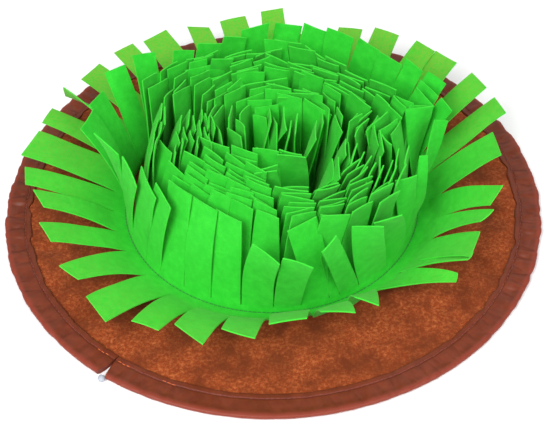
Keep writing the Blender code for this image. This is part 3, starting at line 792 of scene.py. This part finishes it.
def aim_pile(strips, root_a, root_b, azimuth):
    """A strip of the pile has its tip carried with the pile, and a little wander of its own."""
    rank = strips["rank"]
    root = (root_a + root_b) / 2
    outward, _ = outward_at(azimuth)
    lean = (strips["length"] * np.sin(np.radians(strips["lean"])))[:, None]
    shift = carried(root, rank) - root + outward * lean
    chord = carried(root_b, rank) - carried(root_a, rank)
    before = root_b - root_a
    turned = np.arctan2(chord[:, 1], chord[:, 0]) - np.arctan2(before[:, 1], before[:, 0])
    turned = (np.degrees(turned) + 180) % 360 - 180
    near, _ = nearness(root, COMB)
    short = (COMB["azimuth"] - np.degrees(np.arctan2(chord[:, 1], chord[:, 0])) + 90) % 180 - 90
    turned = turned + short * COMB["share"] * near[:, 0]
    chord_length = np.linalg.norm(chord, axis=1)
    bend = np.full(len(rank), STRIP_BEND)
    for stack in STACKS:
        stack = dict(zip(STACK_COLUMNS, stack))
        within, tips, along, pitch = stacked(stack, strips, root, azimuth)
        shift = np.where(within[:, None], tips - root, shift)
        turn = np.degrees(math.atan2(along[1], along[0]) - np.arctan2(before[:, 1], before[:, 0]))
        turn = (turn + stack["turn"] + SHINGLE + 90) % 180 - 90
        turned = np.where(within, turn, turned)
        bend = np.where(within, float(stack["bend"]), bend)
        chord_length = np.where(within, pitch, chord_length)
    twist = strips["twist"] + turned
    room = CROWDED["share"] * chord_length / np.linalg.norm(before, axis=1)
    taper = np.clip(room, CROWDED["least"], CROWDED["most"])
    return dict(upright(strips, shift, bend), twist=twist, taper=taper)


def with_curl(strips, seed):
    """Strips with a curl of their own, each drawn at random."""
    draw = np.random.RandomState(seed)
    count = len(strips["share"])
    curl = {key: draw.uniform(-1, 1, count) * size for key, size in CURL.items()}
    return dict(strips, phase=draw.uniform(0, 1, count), **curl)


def pile_strips(count, rank, seed):
    """A row of like strips, each a little different in width, lean, twist, length and cut."""
    draw = np.random.RandomState(seed)
    wander = {key: draw.uniform(-1, 1, count) * size for key, size in WANDER.items()}
    return {
        "share": 1.0 + wander["share"],
        "length": STRIP_LENGTH + wander["length"],
        "lean": wander["lean"],
        "twist": wander["twist"],
        "skew": wander["skew"],
        "slide": draw.uniform(-1, 1, count) * SCATTER["along"],
        "step_in": draw.uniform(-1, 1, count) * SCATTER["across"],
        "rank": np.full(count, float(rank)),
    }


def join(parts):
    """Several surfaces as one: their points in a row and their faces renumbered."""
    points, faces, start = [], [], 0
    for some, quads in parts:
        points.append(some)
        faces.append(quads + start)
        start += len(some)
    return np.concatenate(points), np.concatenate(faces)


def painted_light_through_share(points):
    """How much painted glow a point of the collar gets, as if light passed through one layer of felt: 0 to 1.

    It grows as the point lies further out than a slanting line above the collar, and towards the back, where
    the petals stand up most and the light behind them is painted in strongest.
    """
    x, y, z = points.T
    out = np.hypot(x - STITCH_CENTRE[0], y - STITCH_CENTRE[1]) - COLLAR_R - PAINTED_LIGHT_THROUGH["slant"] * z
    return np.clip(out / PAINTED_LIGHT_THROUGH["grows"], 0, 1) * (PAINTED_LIGHT_THROUGH["front"] + PAINTED_LIGHT_THROUGH["back"] * np.clip(y / PAINTED_LIGHT_THROUGH["back_y"], 0, 1))


# ---------------------------------------------------------------- ground and casing


def felt_lift(radius, azimuth):
    """How far the felt stands off the ground: a steady lift and waves round the rim, less further in."""
    outside = np.clip((radius - FLAT_R) / (CASING_OUT - FLAT_R), 0, 1)
    lift = RIM_LIFT
    for wave in RIM_WAVES:
        wave = dict(zip(RIM_WAVE_COLUMNS, wave))
        lift = lift + wave["height"] * np.sin(np.radians(wave["waves"] * azimuth + wave["phase"]))
    return np.maximum(0.0, lift) * outside**LIFT_POWER


def dent_depth(x, y):
    """How far the creases press the felt in: each is a bell across its width and along its length."""
    deep = np.zeros_like(x)
    for dent in DENTS:
        dent = dict(zip(DENT_COLUMNS, dent))
        angle = math.radians(dent["azimuth"])
        along = (x - dent["x"]) * math.cos(angle) + (y - dent["y"]) * math.sin(angle)
        beside = (y - dent["y"]) * math.cos(angle) - (x - dent["x"]) * math.sin(angle)
        deep += dent["depth"] * np.exp(-((beside / dent["width"]) ** 2) - (along / dent["length"] * 2) ** 2)
    return deep


def unevenness(x, y):
    """The mean of the felt's few slight waves, each sin(turn along x + turn along y + phase)."""
    waves = table(UNEVEN_COLUMNS, UNEVEN)
    return np.mean(np.sin(waves["x"] * x[..., None] + waves["y"] * y[..., None] + waves["phase"]), axis=-1)


def ground_surface(dent_share):
    """The felt disc's two faces: a square grid drawn to a circle, and the edge between them.

    A point (a, b) of the square goes to x = R a sqrt(1 - b^2/2), y = R b sqrt(1 - a^2/2). The upper face has
    the creases and waves, and both stand on the felt's lift.
    """
    count = GROUND_STEPS + 1
    a, b = np.meshgrid(np.linspace(-1, 1, count), np.linspace(-1, 1, count))
    x, y = FELT_R * a * np.sqrt(1 - b**2 / 2), FELT_R * b * np.sqrt(1 - a**2 / 2)
    radius, azimuth = np.hypot(x, y), np.degrees(np.arctan2(y, x))
    lift = felt_lift(radius, azimuth)
    away = np.clip((FELT_R - radius) / RIM_FADE, 0, 1)
    top = FELT_THICK + lift - away * (dent_depth(x, y) * dent_share - UNEVEN_HEIGHT * unevenness(x, y))
    skin = np.stack([x, y, top], axis=-1).reshape(-1, 3)
    under = np.stack([x, y, lift], axis=-1).reshape(-1, 3)
    faces = grid_faces(count, count).reshape(-1, 4)
    size = len(skin)
    index = np.arange(size).reshape(count, count)
    loop = np.concatenate([index[0, :-1], index[:-1, -1], index[-1, :0:-1], index[:0:-1, 0]])
    after = np.roll(loop, -1)
    rim = np.stack([after, loop, loop + size, after + size], axis=1)
    return np.concatenate([skin, under]), np.concatenate([faces, faces[:, ::-1] + size, rim])


def smooth_through(values, count):
    """Values between those of a short list, on cubics whose slope at each value is that of its neighbours."""
    values = np.asarray(values, float)
    at = np.linspace(0, len(values) - 1, count)
    k = np.minimum(at.astype(int), len(values) - 2)
    t = at - k
    slope = np.gradient(values)
    before = (1 + 2 * t) * (1 - t) ** 2 * values[k] + t * (1 - t) ** 2 * slope[k]
    return before + t**2 * (3 - 2 * t) * values[k + 1] + t**2 * (t - 1) * slope[k + 1]


def pinched(azimuth):
    """How deep the sharp pinches are at these azimuths: each is a bell over its width."""
    made = 0.0
    for row in PINCHES:
        row = dict(zip(PINCH_COLUMNS, row))
        away = (azimuth - row["azimuth"] + 180) % 360 - 180
        made = made + row["depth"] * np.exp(-((away / row["width"]) ** 2))
    return made


def pucker(azimuth, across):
    """How far the cloth stands between its gathers, 0 to 1.

    It is the mean of a few rounds of narrow valleys between broad ridges, each |sin| of half its phase, whose
    spacing drifts round the mat.
    """
    made = 0.0
    for row in PUCKERS:
        row = dict(zip(PUCKER_COLUMNS, row))
        wander = np.sin(np.radians(PUCKER_FORM["drifts"] * azimuth + PUCKER_FORM["apart"] * row["height"]))
        phase = np.radians(row["count"] * (azimuth + row["lean"] * across)) + row["drift"] * wander
        made = made + row["height"] * np.abs(np.sin(phase / 2)) ** PUCKER_FORM["breadth"]
    mean = made / table(PUCKER_COLUMNS, PUCKERS)["height"].sum()
    return np.clip(mean * PUCKER_FORM["gain"] - PUCKER_FORM["less"], 0, 1)


def casing_surface(pucker_height):
    """The gathered tube, as a closed section carried round the felt's edge, open where its two ends meet.

    The section's top is the table's curve. It is lifted by the felt's own waves and, by the table's share, by
    the puckers, which also draw its outer edge in. The pinches press it down and draw its inner edge in.
    """
    sections, across = CASING_STEPS["round"], CASING_STEPS["across"]
    over = FELT_THICK + GAP
    inner = FELT_R + GAP
    top = table(CASING_COLUMNS, CASING_TOP)
    radius = CASING_OUT - smooth_through(top["inset"], across)
    height = over + smooth_through(top["height"], across)
    gather = smooth_through(top["gather"], across)
    under = [(CASING_OUT - inset, 0.0) for inset in UNDER_INSETS] + [(inner, 0.0), (inner, over)]
    under_radius, under_height = np.transpose(under)
    radius = np.concatenate([radius, under_radius])
    height = np.concatenate([height, under_height])
    gather = np.concatenate([gather, np.zeros(len(under))])
    share = np.linspace(0, 1, sections + 1)[:, None]
    outside = np.clip((radius - CASING_IN) / (CASING_OUT - CASING_IN), 0, 1)
    notch = NOTCH_IN + (NOTCH_OUT - NOTCH_IN) * outside**2
    open_by = np.degrees(notch / radius)
    azimuth = NOTCH_AZIMUTH + open_by + (360 - 2 * open_by) * share
    ends = np.clip(np.minimum(share, 1 - share) * GATHERED["begin"], 0, 1)
    strength = (GATHERED["mean"] + GATHERED["sides"] * np.cos(2 * np.radians(azimuth))) * ends
    pinch = pinched(azimuth)
    stands = np.clip(pucker(azimuth, outside) - PINCH_FLATTENS * pinch, 0, 1)
    rise = gather * pucker_height / MM * strength * (stands - GATHERED["under"])
    upper = (height > 0) * strength
    drawn = radius - DRAWN_IN["lip"] * outside**3 * (1 - stands) * upper
    drawn = drawn + DRAWN_IN["seam"] * (pinch - 0.5 * stands) * (1 - outside) ** 4 * upper
    points = circle(drawn, azimuth, height + felt_lift(radius, azimuth) + rise)
    count = len(radius)
    faces = grid_faces(sections + 1, count, wrap=True).reshape(-1, 4)
    i = np.arange(count // 2 - 1)
    cap = np.stack([i, i + 1, count - 2 - i, count - 1 - i], axis=1)
    caps = [cap[:, ::-1], cap + sections * count]
    return points.reshape(-1, 3), np.concatenate([faces, *caps])[:, ::-1]


def end_fans(rings, sides):
    """Triangles from a grid's first and last ring to two end points, whose numbers come after the grid's."""
    k = np.arange(sides)
    after = (k + 1) % sides
    end = np.full(sides, rings * sides)
    last = (rings - 1) * sides
    first_fan = np.stack([end, after, k], axis=1)
    last_fan = np.stack([end + 1, last + k, last + after], axis=1)
    return np.concatenate([first_fan, last_fan])


def tube(path, radius, sides=6):
    """A tube along a path of points, closed flat at its ends: its points, quads and triangles."""
    along = unit(np.gradient(path, axis=0))
    side = unit(np.cross(along, [0.0, 0.0, 1.0]))
    up = np.cross(side, along)
    angle = 2 * np.pi * np.arange(sides) / sides
    ring = side[:, None] * np.cos(angle)[:, None] + up[:, None] * np.sin(angle)[:, None]
    body = path[:, None] + ring * np.reshape(radius, (-1, 1, 1))
    points = np.concatenate([body.reshape(-1, 3), path[:1], path[-1:]])
    return points, grid_faces(len(path), sides, wrap=True).reshape(-1, 4), end_fans(len(path), sides)


def stitches(azimuth, radius, long, thick, height, arch):
    """A round of stitches centred at these azimuths: their points, quads and triangles.

    Each is a short tube along the ring that stands on the felt's own lift, arches up as half a cosine and
    thins towards its ends, where it dips into the cloth.
    """
    share = np.linspace(-0.5, 0.5, STITCH_STEPS + 1)
    parts, triangles, start = [], [], 0
    for middle, r in zip(azimuth, np.broadcast_to(radius, azimuth.shape)):
        along = middle + np.degrees(share * long / r)
        rise = height + arch * np.cos(np.pi * share) + felt_lift(r, along)
        points, quads, ends = tube(circle(r, along, rise), thick * np.cos(STITCH_THINS * share))
        parts.append((points, quads))
        triangles.append(ends + start)
        start += len(points)
    points, quads = join(parts)
    return points, quads, np.concatenate(triangles)


# ---------------------------------------------------------------- finishes

# The sockets of a node that mixes two colours, which share their names with those of its other kinds
MIX_BY, MIX_FROM, MIX_TO, MIXED = 0, 6, 7, 2
MIX = {"data_type": "RGBA"}

# The links of a texture laid out by object coordinates
IN_PLACE = {"Vector": ("where", "Object")}


def per(size):
    """A texture's scale for features of this size in millimetres."""
    return 1.0 / (size * MM)


def opaque(setting):
    """A colour setting as a colour socket takes it."""
    return (*setting, 1.0)


def add_node(tree, nodes, name, kind, values, links):
    """A shader node with values, on its sockets or its settings, and links from (name of a node, output)."""
    made = nodes[name] if name in nodes else tree.nodes.new("ShaderNode" + kind)
    nodes[name] = made
    for key, value in values.items():
        if isinstance(key, int) or key in made.inputs:
            made.inputs[key].default_value = value
        else:
            setattr(made, key, value)
    for key, (source, output) in links.items():
        tree.links.new(nodes[source].outputs[output], made.inputs[key])


def new_finish(name, rows):
    """A material from rows of nodes: each one's name, kind, values and links.

    The node called where, which gives object coordinates, and the shader are there already.
    """
    made = bpy.data.materials.new(name)
    made.use_nodes = True
    tree = made.node_tree
    nodes = {"where": tree.nodes.new("ShaderNodeTexCoord"), "shader": tree.nodes["Principled BSDF"]}
    for row in rows:
        add_node(tree, nodes, *row)
    return made


def felt_of_strips(look):
    """Pressed polyester felt, dyed through: an even, matt face with faint clouds of thinner fibre and grain.

    Its cut edges are painted paler, a painted highlight where loose ends catch the light. Light passes
    through it a little; more light passing through, in patches on the petals, is painted into the colour as a
    painted glow. The grain is drawn coarser than the fibres, so that it shows.
    """
    shade = opaque(look.felt_shade)
    rows = (
        ("clouds", "TexNoise", {"Scale": per(7.0), "Detail": 3.0}, IN_PLACE),
        ("cloudy", "MapRange", {"From Min": 0.3, "From Max": 0.7}, {"Value": ("clouds", "Fac")}),
        ("face", "Mix", {**MIX, MIX_FROM: shade, MIX_TO: opaque(look.felt)}, {MIX_BY: ("cloudy", "Result")}),
        ("grain", "TexNoise", {"Scale": per(1.1), "Detail": 4.0}, IN_PLACE),
        ("grainy", "MapRange", {"From Min": 0.15, "From Max": 0.6}, {"Value": ("grain", "Fac")}),
        ("grained", "Mix", {**MIX, MIX_FROM: shade}, {MIX_BY: ("grainy", "Result"), MIX_TO: ("face", MIXED)}),
        ("mottle", "TexNoise", {"Scale": per(2.6), "Detail": 3.0}, IN_PLACE),
        ("mottled", "MapRange", {"From Min": 0.2, "From Max": 0.6}, {"Value": ("mottle", "Fac")}),
        # Painted glow: light passing through the petals is painted in as a mottled, yellower green, by a mark
        # made from each point's place
        ("light_through_paint", "Attribute", {"attribute_name": "light_through_paint"}, {}),
        ("patchy", "Math", {"operation": "MULTIPLY"}, {0: ("light_through_paint", "Fac"), 1: ("mottled", "Result")}),
        (
            "painted_light_through_mix",
            "Mix",
            {**MIX, MIX_TO: opaque(look.painted_light_through_colour)},
            {MIX_BY: ("patchy", "Value"), MIX_FROM: ("grained", MIXED)},
        ),
        # Painted highlight: the rims of the cut edges are painted paler
        ("rim", "Attribute", {"attribute_name": "painted_edge_highlight"}, {}),
        (
            "base",
            "Mix",
            {**MIX, MIX_TO: opaque(look.painted_edge_highlight)},
            {MIX_BY: ("rim", "Fac"), MIX_FROM: ("painted_light_through_mix", MIXED)},
        ),
        ("bump", "Bump", {"Strength": 0.25, "Distance": 0.4 * MM}, {"Height": ("grain", "Fac")}),
        (
            "shader",
            "BsdfPrincipled",
            {
                "Roughness": 0.85,
                "Specular IOR Level": 0.22,
                "Sheen Weight": 0.14,
                "Sheen Roughness": 0.5,
                "Sheen Tint": (0.6, 1.0, 0.4, 1.0),
                "Subsurface Weight": 0.35,
                "Subsurface Radius": (0.5, 1.0, 0.4),
                "Subsurface Scale": 2.2 * MM,
            },
            {"Base Color": ("base", MIXED), "Normal": ("bump", "Normal")},
        ),
    )
    return new_finish("pressed_green_felt", rows)


def felt_of_ground(look):
    """Needle-punched felt of mixed fibres: a rough rust brown, in lighter and darker patches.

    Short bright curls of orange lie mostly in the light ones. They are drawn coarser than the fibres, so that
    they show.
    """
    dark = opaque(look.felt_dark)
    bent = {"Scale": per(3.0), "Detail": 3.5, "Roughness": 0.7, "Distortion": 0.3}
    rows = (
        ("patches", "TexNoise", {"Scale": per(26.0), "Detail": 5.0, "Roughness": 0.66}, IN_PLACE),
        ("patchy", "MapRange", {"From Min": 0.34, "From Max": 0.6}, {"Value": ("patches", "Fac")}),
        ("ground", "Mix", {**MIX, MIX_FROM: dark, MIX_TO: opaque(look.felt)}, {MIX_BY: ("patchy", "Result")}),
        ("fine", "TexNoise", {"Scale": per(0.9), "Detail": 4.0}, IN_PLACE),
        ("finely", "MapRange", {"From Min": 0.3, "From Max": 0.62}, {"Value": ("fine", "Fac")}),
        ("mixed", "Mix", {**MIX, MIX_FROM: dark}, {MIX_BY: ("finely", "Result"), MIX_TO: ("ground", MIXED)}),
        ("curls", "TexNoise", bent, IN_PLACE),
        ("curled", "MapRange", {"From Min": 0.46, "From Max": 0.86}, {"Value": ("curls", "Fac")}),
        ("lighter", "MapRange", {"From Min": 0.33, "From Max": 0.64}, {"Value": ("patches", "Fac")}),
        ("flecked", "Math", {"operation": "MULTIPLY"}, {0: ("curled", "Result"), 1: ("lighter", "Result")}),
        (
            "base",
            "Mix",
            {**MIX, MIX_TO: opaque(look.fleck)},
            {MIX_BY: ("flecked", "Value"), MIX_FROM: ("mixed", MIXED)},
        ),
        ("height", "Math", {"operation": "ADD"}, {0: ("curls", "Fac"), 1: ("fine", "Fac")}),
        ("bump", "Bump", {"Strength": 0.5, "Distance": 0.7 * MM}, {"Height": ("height", "Value")}),
        (
            "shader",
            "BsdfPrincipled",
            {
                "Roughness": 0.95,
                "Specular IOR Level": 0.15,
                "Sheen Weight": 0.1,
                "Sheen Roughness": 0.6,
                "Sheen Tint": (1.0, 0.75, 0.55, 1.0),
            },
            {"Base Color": ("base", MIXED), "Normal": ("bump", "Normal")},
        ),
    )
    return new_finish("needled_rust_felt", rows)


def taffeta(look):
    """Coated woven taffeta of little thickness, crisp and smooth, with a dull mauve shine; along the lip,
    where the cord fills it, a lighter, redder band is a painted highlight.

    The weave is drawn coarser than its threads, as a slight unevenness, so that it shows.
    """
    dull = opaque(0.72 * c for c in look.cloth)
    rows = (
        ("worn", "TexNoise", {"Scale": per(9.0), "Detail": 3.0}, IN_PLACE),
        ("faded", "MapRange", {"From Min": 0.3, "From Max": 0.7}, {"Value": ("worn", "Fac")}),
        ("cloth", "Mix", {**MIX, MIX_FROM: dull, MIX_TO: opaque(look.cloth)}, {MIX_BY: ("faded", "Result")}),
        # Painted highlight: a lighter, redder band along the rounded lip
        ("lip", "Attribute", {"attribute_name": "lip"}, {}),
        (
            "base",
            "Mix",
            {**MIX, MIX_TO: opaque(look.lip)},
            {MIX_BY: ("lip", "Fac"), MIX_FROM: ("cloth", MIXED)},
        ),
        ("weave", "TexNoise", {"Scale": per(0.8), "Detail": 2.0}, IN_PLACE),
        ("bump", "Bump", {"Strength": 0.15, "Distance": 0.3 * MM}, {"Height": ("weave", "Fac")}),
        (
            "shader",
            "BsdfPrincipled",
            {
                "Roughness": 0.42,
                "Specular IOR Level": 0.22,
                "Sheen Weight": 0.05,
                "Sheen Roughness": 0.4,
                "Sheen Tint": opaque(look.sheen),
            },
            {"Base Color": ("base", MIXED), "Normal": ("bump", "Normal")},
        ),
    )
    return new_finish("coated_brown_taffeta", rows)


def spun_thread(name, plain, bright):
    """Spun polyester sewing thread, soft and a little hairy: plain, and bright where the piece is marked."""
    spun = {"Roughness": 0.6, "Sheen Weight": 0.3}
    rows = (
        ("tone", "Attribute", {"attribute_name": "bright"}, {}),
        ("base", "Mix", {**MIX, MIX_FROM: opaque(plain), MIX_TO: opaque(bright)}, {MIX_BY: ("tone", "Fac")}),
        ("shader", "BsdfPrincipled", spun, {"Base Color": ("base", MIXED)}),
    )
    return new_finish(name, rows)


def braided_cord(look):
    """Braided polyester cord, pale grey, sealed at its end: smooth, with a soft shine."""
    dull = opaque(0.8 * c for c in look.cord)
    rows = (
        ("ply", "TexNoise", {"Scale": per(0.9), "Detail": 2.0}, IN_PLACE),
        ("braided", "MapRange", {"From Min": 0.35, "From Max": 0.65}, {"Value": ("ply", "Fac")}),
        ("base", "Mix", {**MIX, MIX_FROM: dull, MIX_TO: opaque(look.cord)}, {MIX_BY: ("braided", "Result")}),
        ("shader", "BsdfPrincipled", {"Roughness": 0.5}, {"Base Color": ("base", MIXED)}),
    )
    return new_finish("braided_pale_cord", rows)


def plain_floor(look):
    """A plain matt floor."""
    values = {"Base Color": opaque(look.floor), "Roughness": 0.9, "Specular IOR Level": 0.1}
    return new_finish("plain_floor", [("shader", "BsdfPrincipled", values, {})])


# ---------------------------------------------------------------- operators


def placed(right, up, back, place):
    """The matrix of an object with these directions at a place in millimetres: they are its columns."""
    matrix = np.eye(4)
    matrix[:3] = np.stack([right, up, back, np.multiply(place, MM)], axis=1)
    return Matrix(matrix.tolist())


class MAT_OT_stage(bpy.types.Operator):
    """Set up the camera, the floor and the lights"""

    bl_idname = "mat.stage"
    bl_label = "Stage"

    def execute(self, context):
        scene = context.scene
        look = scene.mat_stage
        self.camera(scene)
        self.floor(look)
        for light in LIGHTS:
            self.light(dict(zip(LIGHT_COLUMNS, light)), look.key_power)
        world = bpy.data.worlds.new("even_light")
        world.use_nodes = True
        sky = world.node_tree.nodes["Background"]
        sky.inputs["Color"].default_value = (1, 1, 1, 1)
        sky.inputs["Strength"].default_value = look.sky
        scene.world = world
        scene.view_settings.view_transform = "Standard"
        return {"FINISHED"}

    def camera(self, scene):
        """The camera, which looks down at the mat from its front and is rolled a little."""
        elevation, roll = math.radians(CAMERA["elevation"]), math.radians(CAMERA["roll"])
        back = np.array([0, -math.cos(elevation), math.sin(elevation)])
        level, upright = np.array([1.0, 0, 0]), np.array([0, math.sin(elevation), math.cos(elevation)])
        right = level * math.cos(roll) + upright * math.sin(roll)
        up = upright * math.cos(roll) - level * math.sin(roll)
        data = bpy.data.cameras.new("view")
        data.sensor_width = CAMERA_SENSOR
        data.lens = CAMERA_LENS
        data.clip_start = 0.01
        camera = show("view", data)
        camera.matrix_world = placed(right, up, back, CAMERA["aim"] + back * CAMERA["distance"])
        scene.camera = camera

    def floor(self, look):
        """The floor, a square that reaches well past the picture."""
        half = FLOOR_HALF * MM
        data = bpy.data.meshes.new("floor")
        corners = [(-half, -half, 0), (half, -half, 0), (half, half, 0), (-half, half, 0)]
        data.from_pydata(corners, [], [range(4)])
        data.materials.append(plain_floor(look))
        floor = show("floor", data)

    def light(self, row, key_power):
        """A wide, soft light that faces the origin, under the middle of the mat."""
        data = bpy.data.lights.new(row["name"], "AREA")
        data.size = row["width"] * MM
        data.energy = key_power * row["share"]
        place = np.array([row["x"], row["y"], row["z"]], float)
        back = unit(place)
        side = unit(np.cross([0, 0, 1], back))
        show(row["name"], data).matrix_world = placed(side, np.cross(back, side), back, place)


class MAT_OT_ground(bpy.types.Operator):
    """Make the felt disc that everything is sewn to"""

    bl_idname = "mat.ground"
    bl_label = "Felt ground"

    def execute(self, context):
        look = context.scene.mat_ground
        points, faces = ground_surface(look.dent_depth)
        made = add_piece("felt_ground", points, faces, felt_of_ground(look), ["felt_base"])
        return {"FINISHED"}


class MAT_OT_casing(bpy.types.Operator):
    """Make the gathered casing, its topstitching and the drawcord's end"""

    bl_idname = "mat.casing"
    bl_label = "Drawcord casing"

    def execute(self, context):
        look = context.scene.mat_casing
        points, faces = casing_surface(look.pucker_height)
        # The lip mark paints a lighter, redder band along the outer edge: a painted highlight
        outside = np.hypot(points[:, 0], points[:, 1]) - (CASING_OUT - LIP_PAINTED_HIGHLIGHT["inset"])
        marks = {"lip": np.clip(outside / LIP_PAINTED_HIGHLIGHT["fade"], 0, 1)}
        add_piece("casing_cloth", points, faces, taffeta(look), ["drawcord_casing"], marks)
        self.topstitch(look)
        self.cord_end(look)
        return {"FINISHED"}

    def topstitch(self, look):
        """A line of stitches along the casing's inner flap, bright where its ends are closed by hand."""
        form = TOPSTITCH
        long = look.stitch_length / MM
        radius = CASING_OUT - form["inset"]
        count = int(2 * math.pi * radius / (long * form["pitch"]))
        azimuth = NOTCH_AZIMUTH + NOTCH_CLEAR + (360 - 2 * NOTCH_CLEAR) * np.arange(count) / count
        radius = radius + TOPSTITCH_WANDER["by"] * np.sin(TOPSTITCH_WANDER["turn"] * np.arange(count))
        over = FELT_THICK + GAP + form["height"]
        points, quads, ends = stitches(azimuth, radius, long, form["thick"], over, form["arch"])
        from_notch = np.repeat((azimuth - NOTCH_AZIMUTH) % 360, len(points) // count)
        marks = {"bright": sum(((from_notch > a) & (from_notch < b)).astype(float) for a, b in HAND_STITCHED)}
        finish = spun_thread("spun_brown_thread", look.thread, look.knot_thread)
        add_piece("casing_topstitch", points, quads, finish, marks=marks, triangles=ends)

    def cord_end(self, look):
        """The knotted end: a ball whose radius swells and dips along two plies that wind round it."""
        lat = np.linspace(KNOT["pole"], np.pi - KNOT["pole"], KNOT["rings"])[:, None]
        lon = 2 * np.pi * np.arange(KNOT["sides"]) / KNOT["sides"]
        ply = 0.5 + 0.5 * np.cos(KNOT["plies"] * lon - KNOT["winds"] * lat)
        radius = KNOB_R * (1 - KNOT["swell"] + KNOT["swell"] * ply * np.sin(lat))
        ball = circle(radius * np.sin(lat), np.degrees(lon), radius * np.cos(lat)).reshape(-1, 3)
        poles = KNOB_R * (1 - KNOT["swell"]) * np.array([[0, 0, 1], [0, 0, -1]])
        middle = circle(CASING_OUT + KNOB_OUT, NOTCH_AZIMUTH + KNOB_TURN, KNOB_R)
        points = np.concatenate([ball, poles]) + middle
        quads = grid_faces(KNOT["rings"], KNOT["sides"], wrap=True).reshape(-1, 4)[:, ::-1]
        ends = end_fans(KNOT["rings"], KNOT["sides"])[:, ::-1]
        finish = braided_cord(look)
        add_piece("cord_knot", points, quads, finish, ["drawcord_end"], triangles=ends)


class MAT_OT_fringe(bpy.types.Operator):
    """Make the collar of petals and wall strips, and the bands of the pile inside it"""

    bl_idname = "mat.fringe"
    bl_label = "Felt fringe"

    def execute(self, context):
        look = context.scene.mat_fringe
        finish = felt_of_strips(look)
        petals = with_curl(table(PETAL_COLUMNS, PETALS), SEEDS["petals"])
        wall = with_curl(table(WALL_COLUMNS, WALL), SEEDS["wall"])
        leaves = [
            cut_leaf(petals, PETAL_START, COLLAR_R, COLLAR_SHAPE, "outer", aim_petals),
            cut_leaf(wall, WALL_START, COLLAR_R, COLLAR_SHAPE, "inner", aim_wall),
        ]
        self.band(look, finish, "fringe_collar_felt", "fringe_collar", leaves, COLLAR_R, CUT_WIDTH["collar"])
        self.crease_shade_stitches(look)
        for k, band in enumerate(BANDS):
            band = dict(zip(BAND_COLUMNS, band))
            leaves = []
            for rank, side in ((2 * k, "outer"), (2 * k + 1, "inner")):
                strips = pile_strips(band[side], rank + 1, SEEDS["pile"] + rank)
                strips = with_curl(strips, SEEDS["curl"] + rank)
                leaves.append(cut_leaf(strips, PARTING, band["stitch_r"], BAND_SHAPE, side, aim_pile))
            name, node = f"fringe_band_{k + 2}", f"fringe_{k + 2}"
            self.band(look, finish, name, node, leaves, band["stitch_r"], CUT_WIDTH["band"])
        return {"FINISHED"}

    def band(self, look, finish, name, node, leaves, stitch_r, cut_width):
        """A band of felt from its leaves, as one closed sheet; the size that it is cut to is passed but not
        used.
        """
        points, faces = join(leaves)
        points, quads, rim = thicken(points, faces, look.strip_thickness / MM)
        # Marks for painted light: paler cut edges (a painted highlight), and light passing through the petals
        # (a painted glow)
        marks = {"painted_edge_highlight": rim, "light_through_paint": painted_light_through_share(points)}
        made = add_piece(name, points, quads, finish, [node], marks)

    def crease_shade_stitches(self, look):
        """The stitches along the collar's fold, in the corner between the petals and the wall: a real seam
        whose dark thread is painted shade in the crease.
        """
        form = COLLAR_STITCH
        corner = math.radians((COLLAR_SHAPE["outer_slope"] + 180 - COLLAR_SHAPE["inner_slope"]) / 2)
        opening = corner - math.radians(COLLAR_SHAPE["outer_slope"])
        away = (STRIP_THICK / 2 + form["thick"]) / math.sin(opening)
        radius = COLLAR_R + away * math.cos(corner)
        height = FOLD_HEIGHT + away * math.sin(corner) - form["thick"]
        count = int(2 * math.pi * radius / form["pitch"])
        azimuth = 360 * np.arange(count) / count
        points, quads, ends = stitches(azimuth, radius, form["length"], form["thick"], height, form["arch"])
        points = points + [*STITCH_CENTRE, 0.0]
        finish = spun_thread("dark_thread_crease_shade", look.thread, look.thread)
        add_piece("crease_shade_stitches", points, quads, finish, triangles=ends)


class MAT_PT_panel(bpy.types.Panel):
    """The mat's pieces and their settings"""

    bl_idname = "MAT_PT_panel"
    bl_label = "Snuffle Mat"
    bl_space_type = "VIEW_3D"
    bl_region_type = "UI"
    bl_category = "Snuffle Mat"

    def draw(self, context):
        for step, group in STEPS_IN_ORDER:
            box = self.layout.box()
            box.operator(step)
            settings = getattr(context.scene, group)
            for key in settings.__annotations__:
                box.prop(settings, key)


STEPS_IN_ORDER = (
    ("mat.stage", "mat_stage"),
    ("mat.ground", "mat_ground"),
    ("mat.casing", "mat_casing"),
    ("mat.fringe", "mat_fringe"),
)
GROUPS = {
    "mat_stage": StageSettings,
    "mat_ground": GroundSettings,
    "mat_casing": CasingSettings,
    "mat_fringe": FringeSettings,
}
CLASSES = (*GROUPS.values(), MAT_OT_stage, MAT_OT_ground, MAT_OT_casing, MAT_OT_fringe, MAT_PT_panel)


def register():
    for made in CLASSES:
        bpy.utils.register_class(made)
    for name, group in GROUPS.items():
        setattr(bpy.types.Scene, name, PointerProperty(type=group))


def unregister():
    for name in GROUPS:
        delattr(bpy.types.Scene, name)
    for made in reversed(CLASSES):
        bpy.utils.unregister_class(made)


def main():
    register()
    bpy.ops.mat.stage()
    bpy.ops.mat.ground()
    bpy.ops.mat.casing()
    bpy.ops.mat.fringe()


if __name__ == "__main__":
    main()
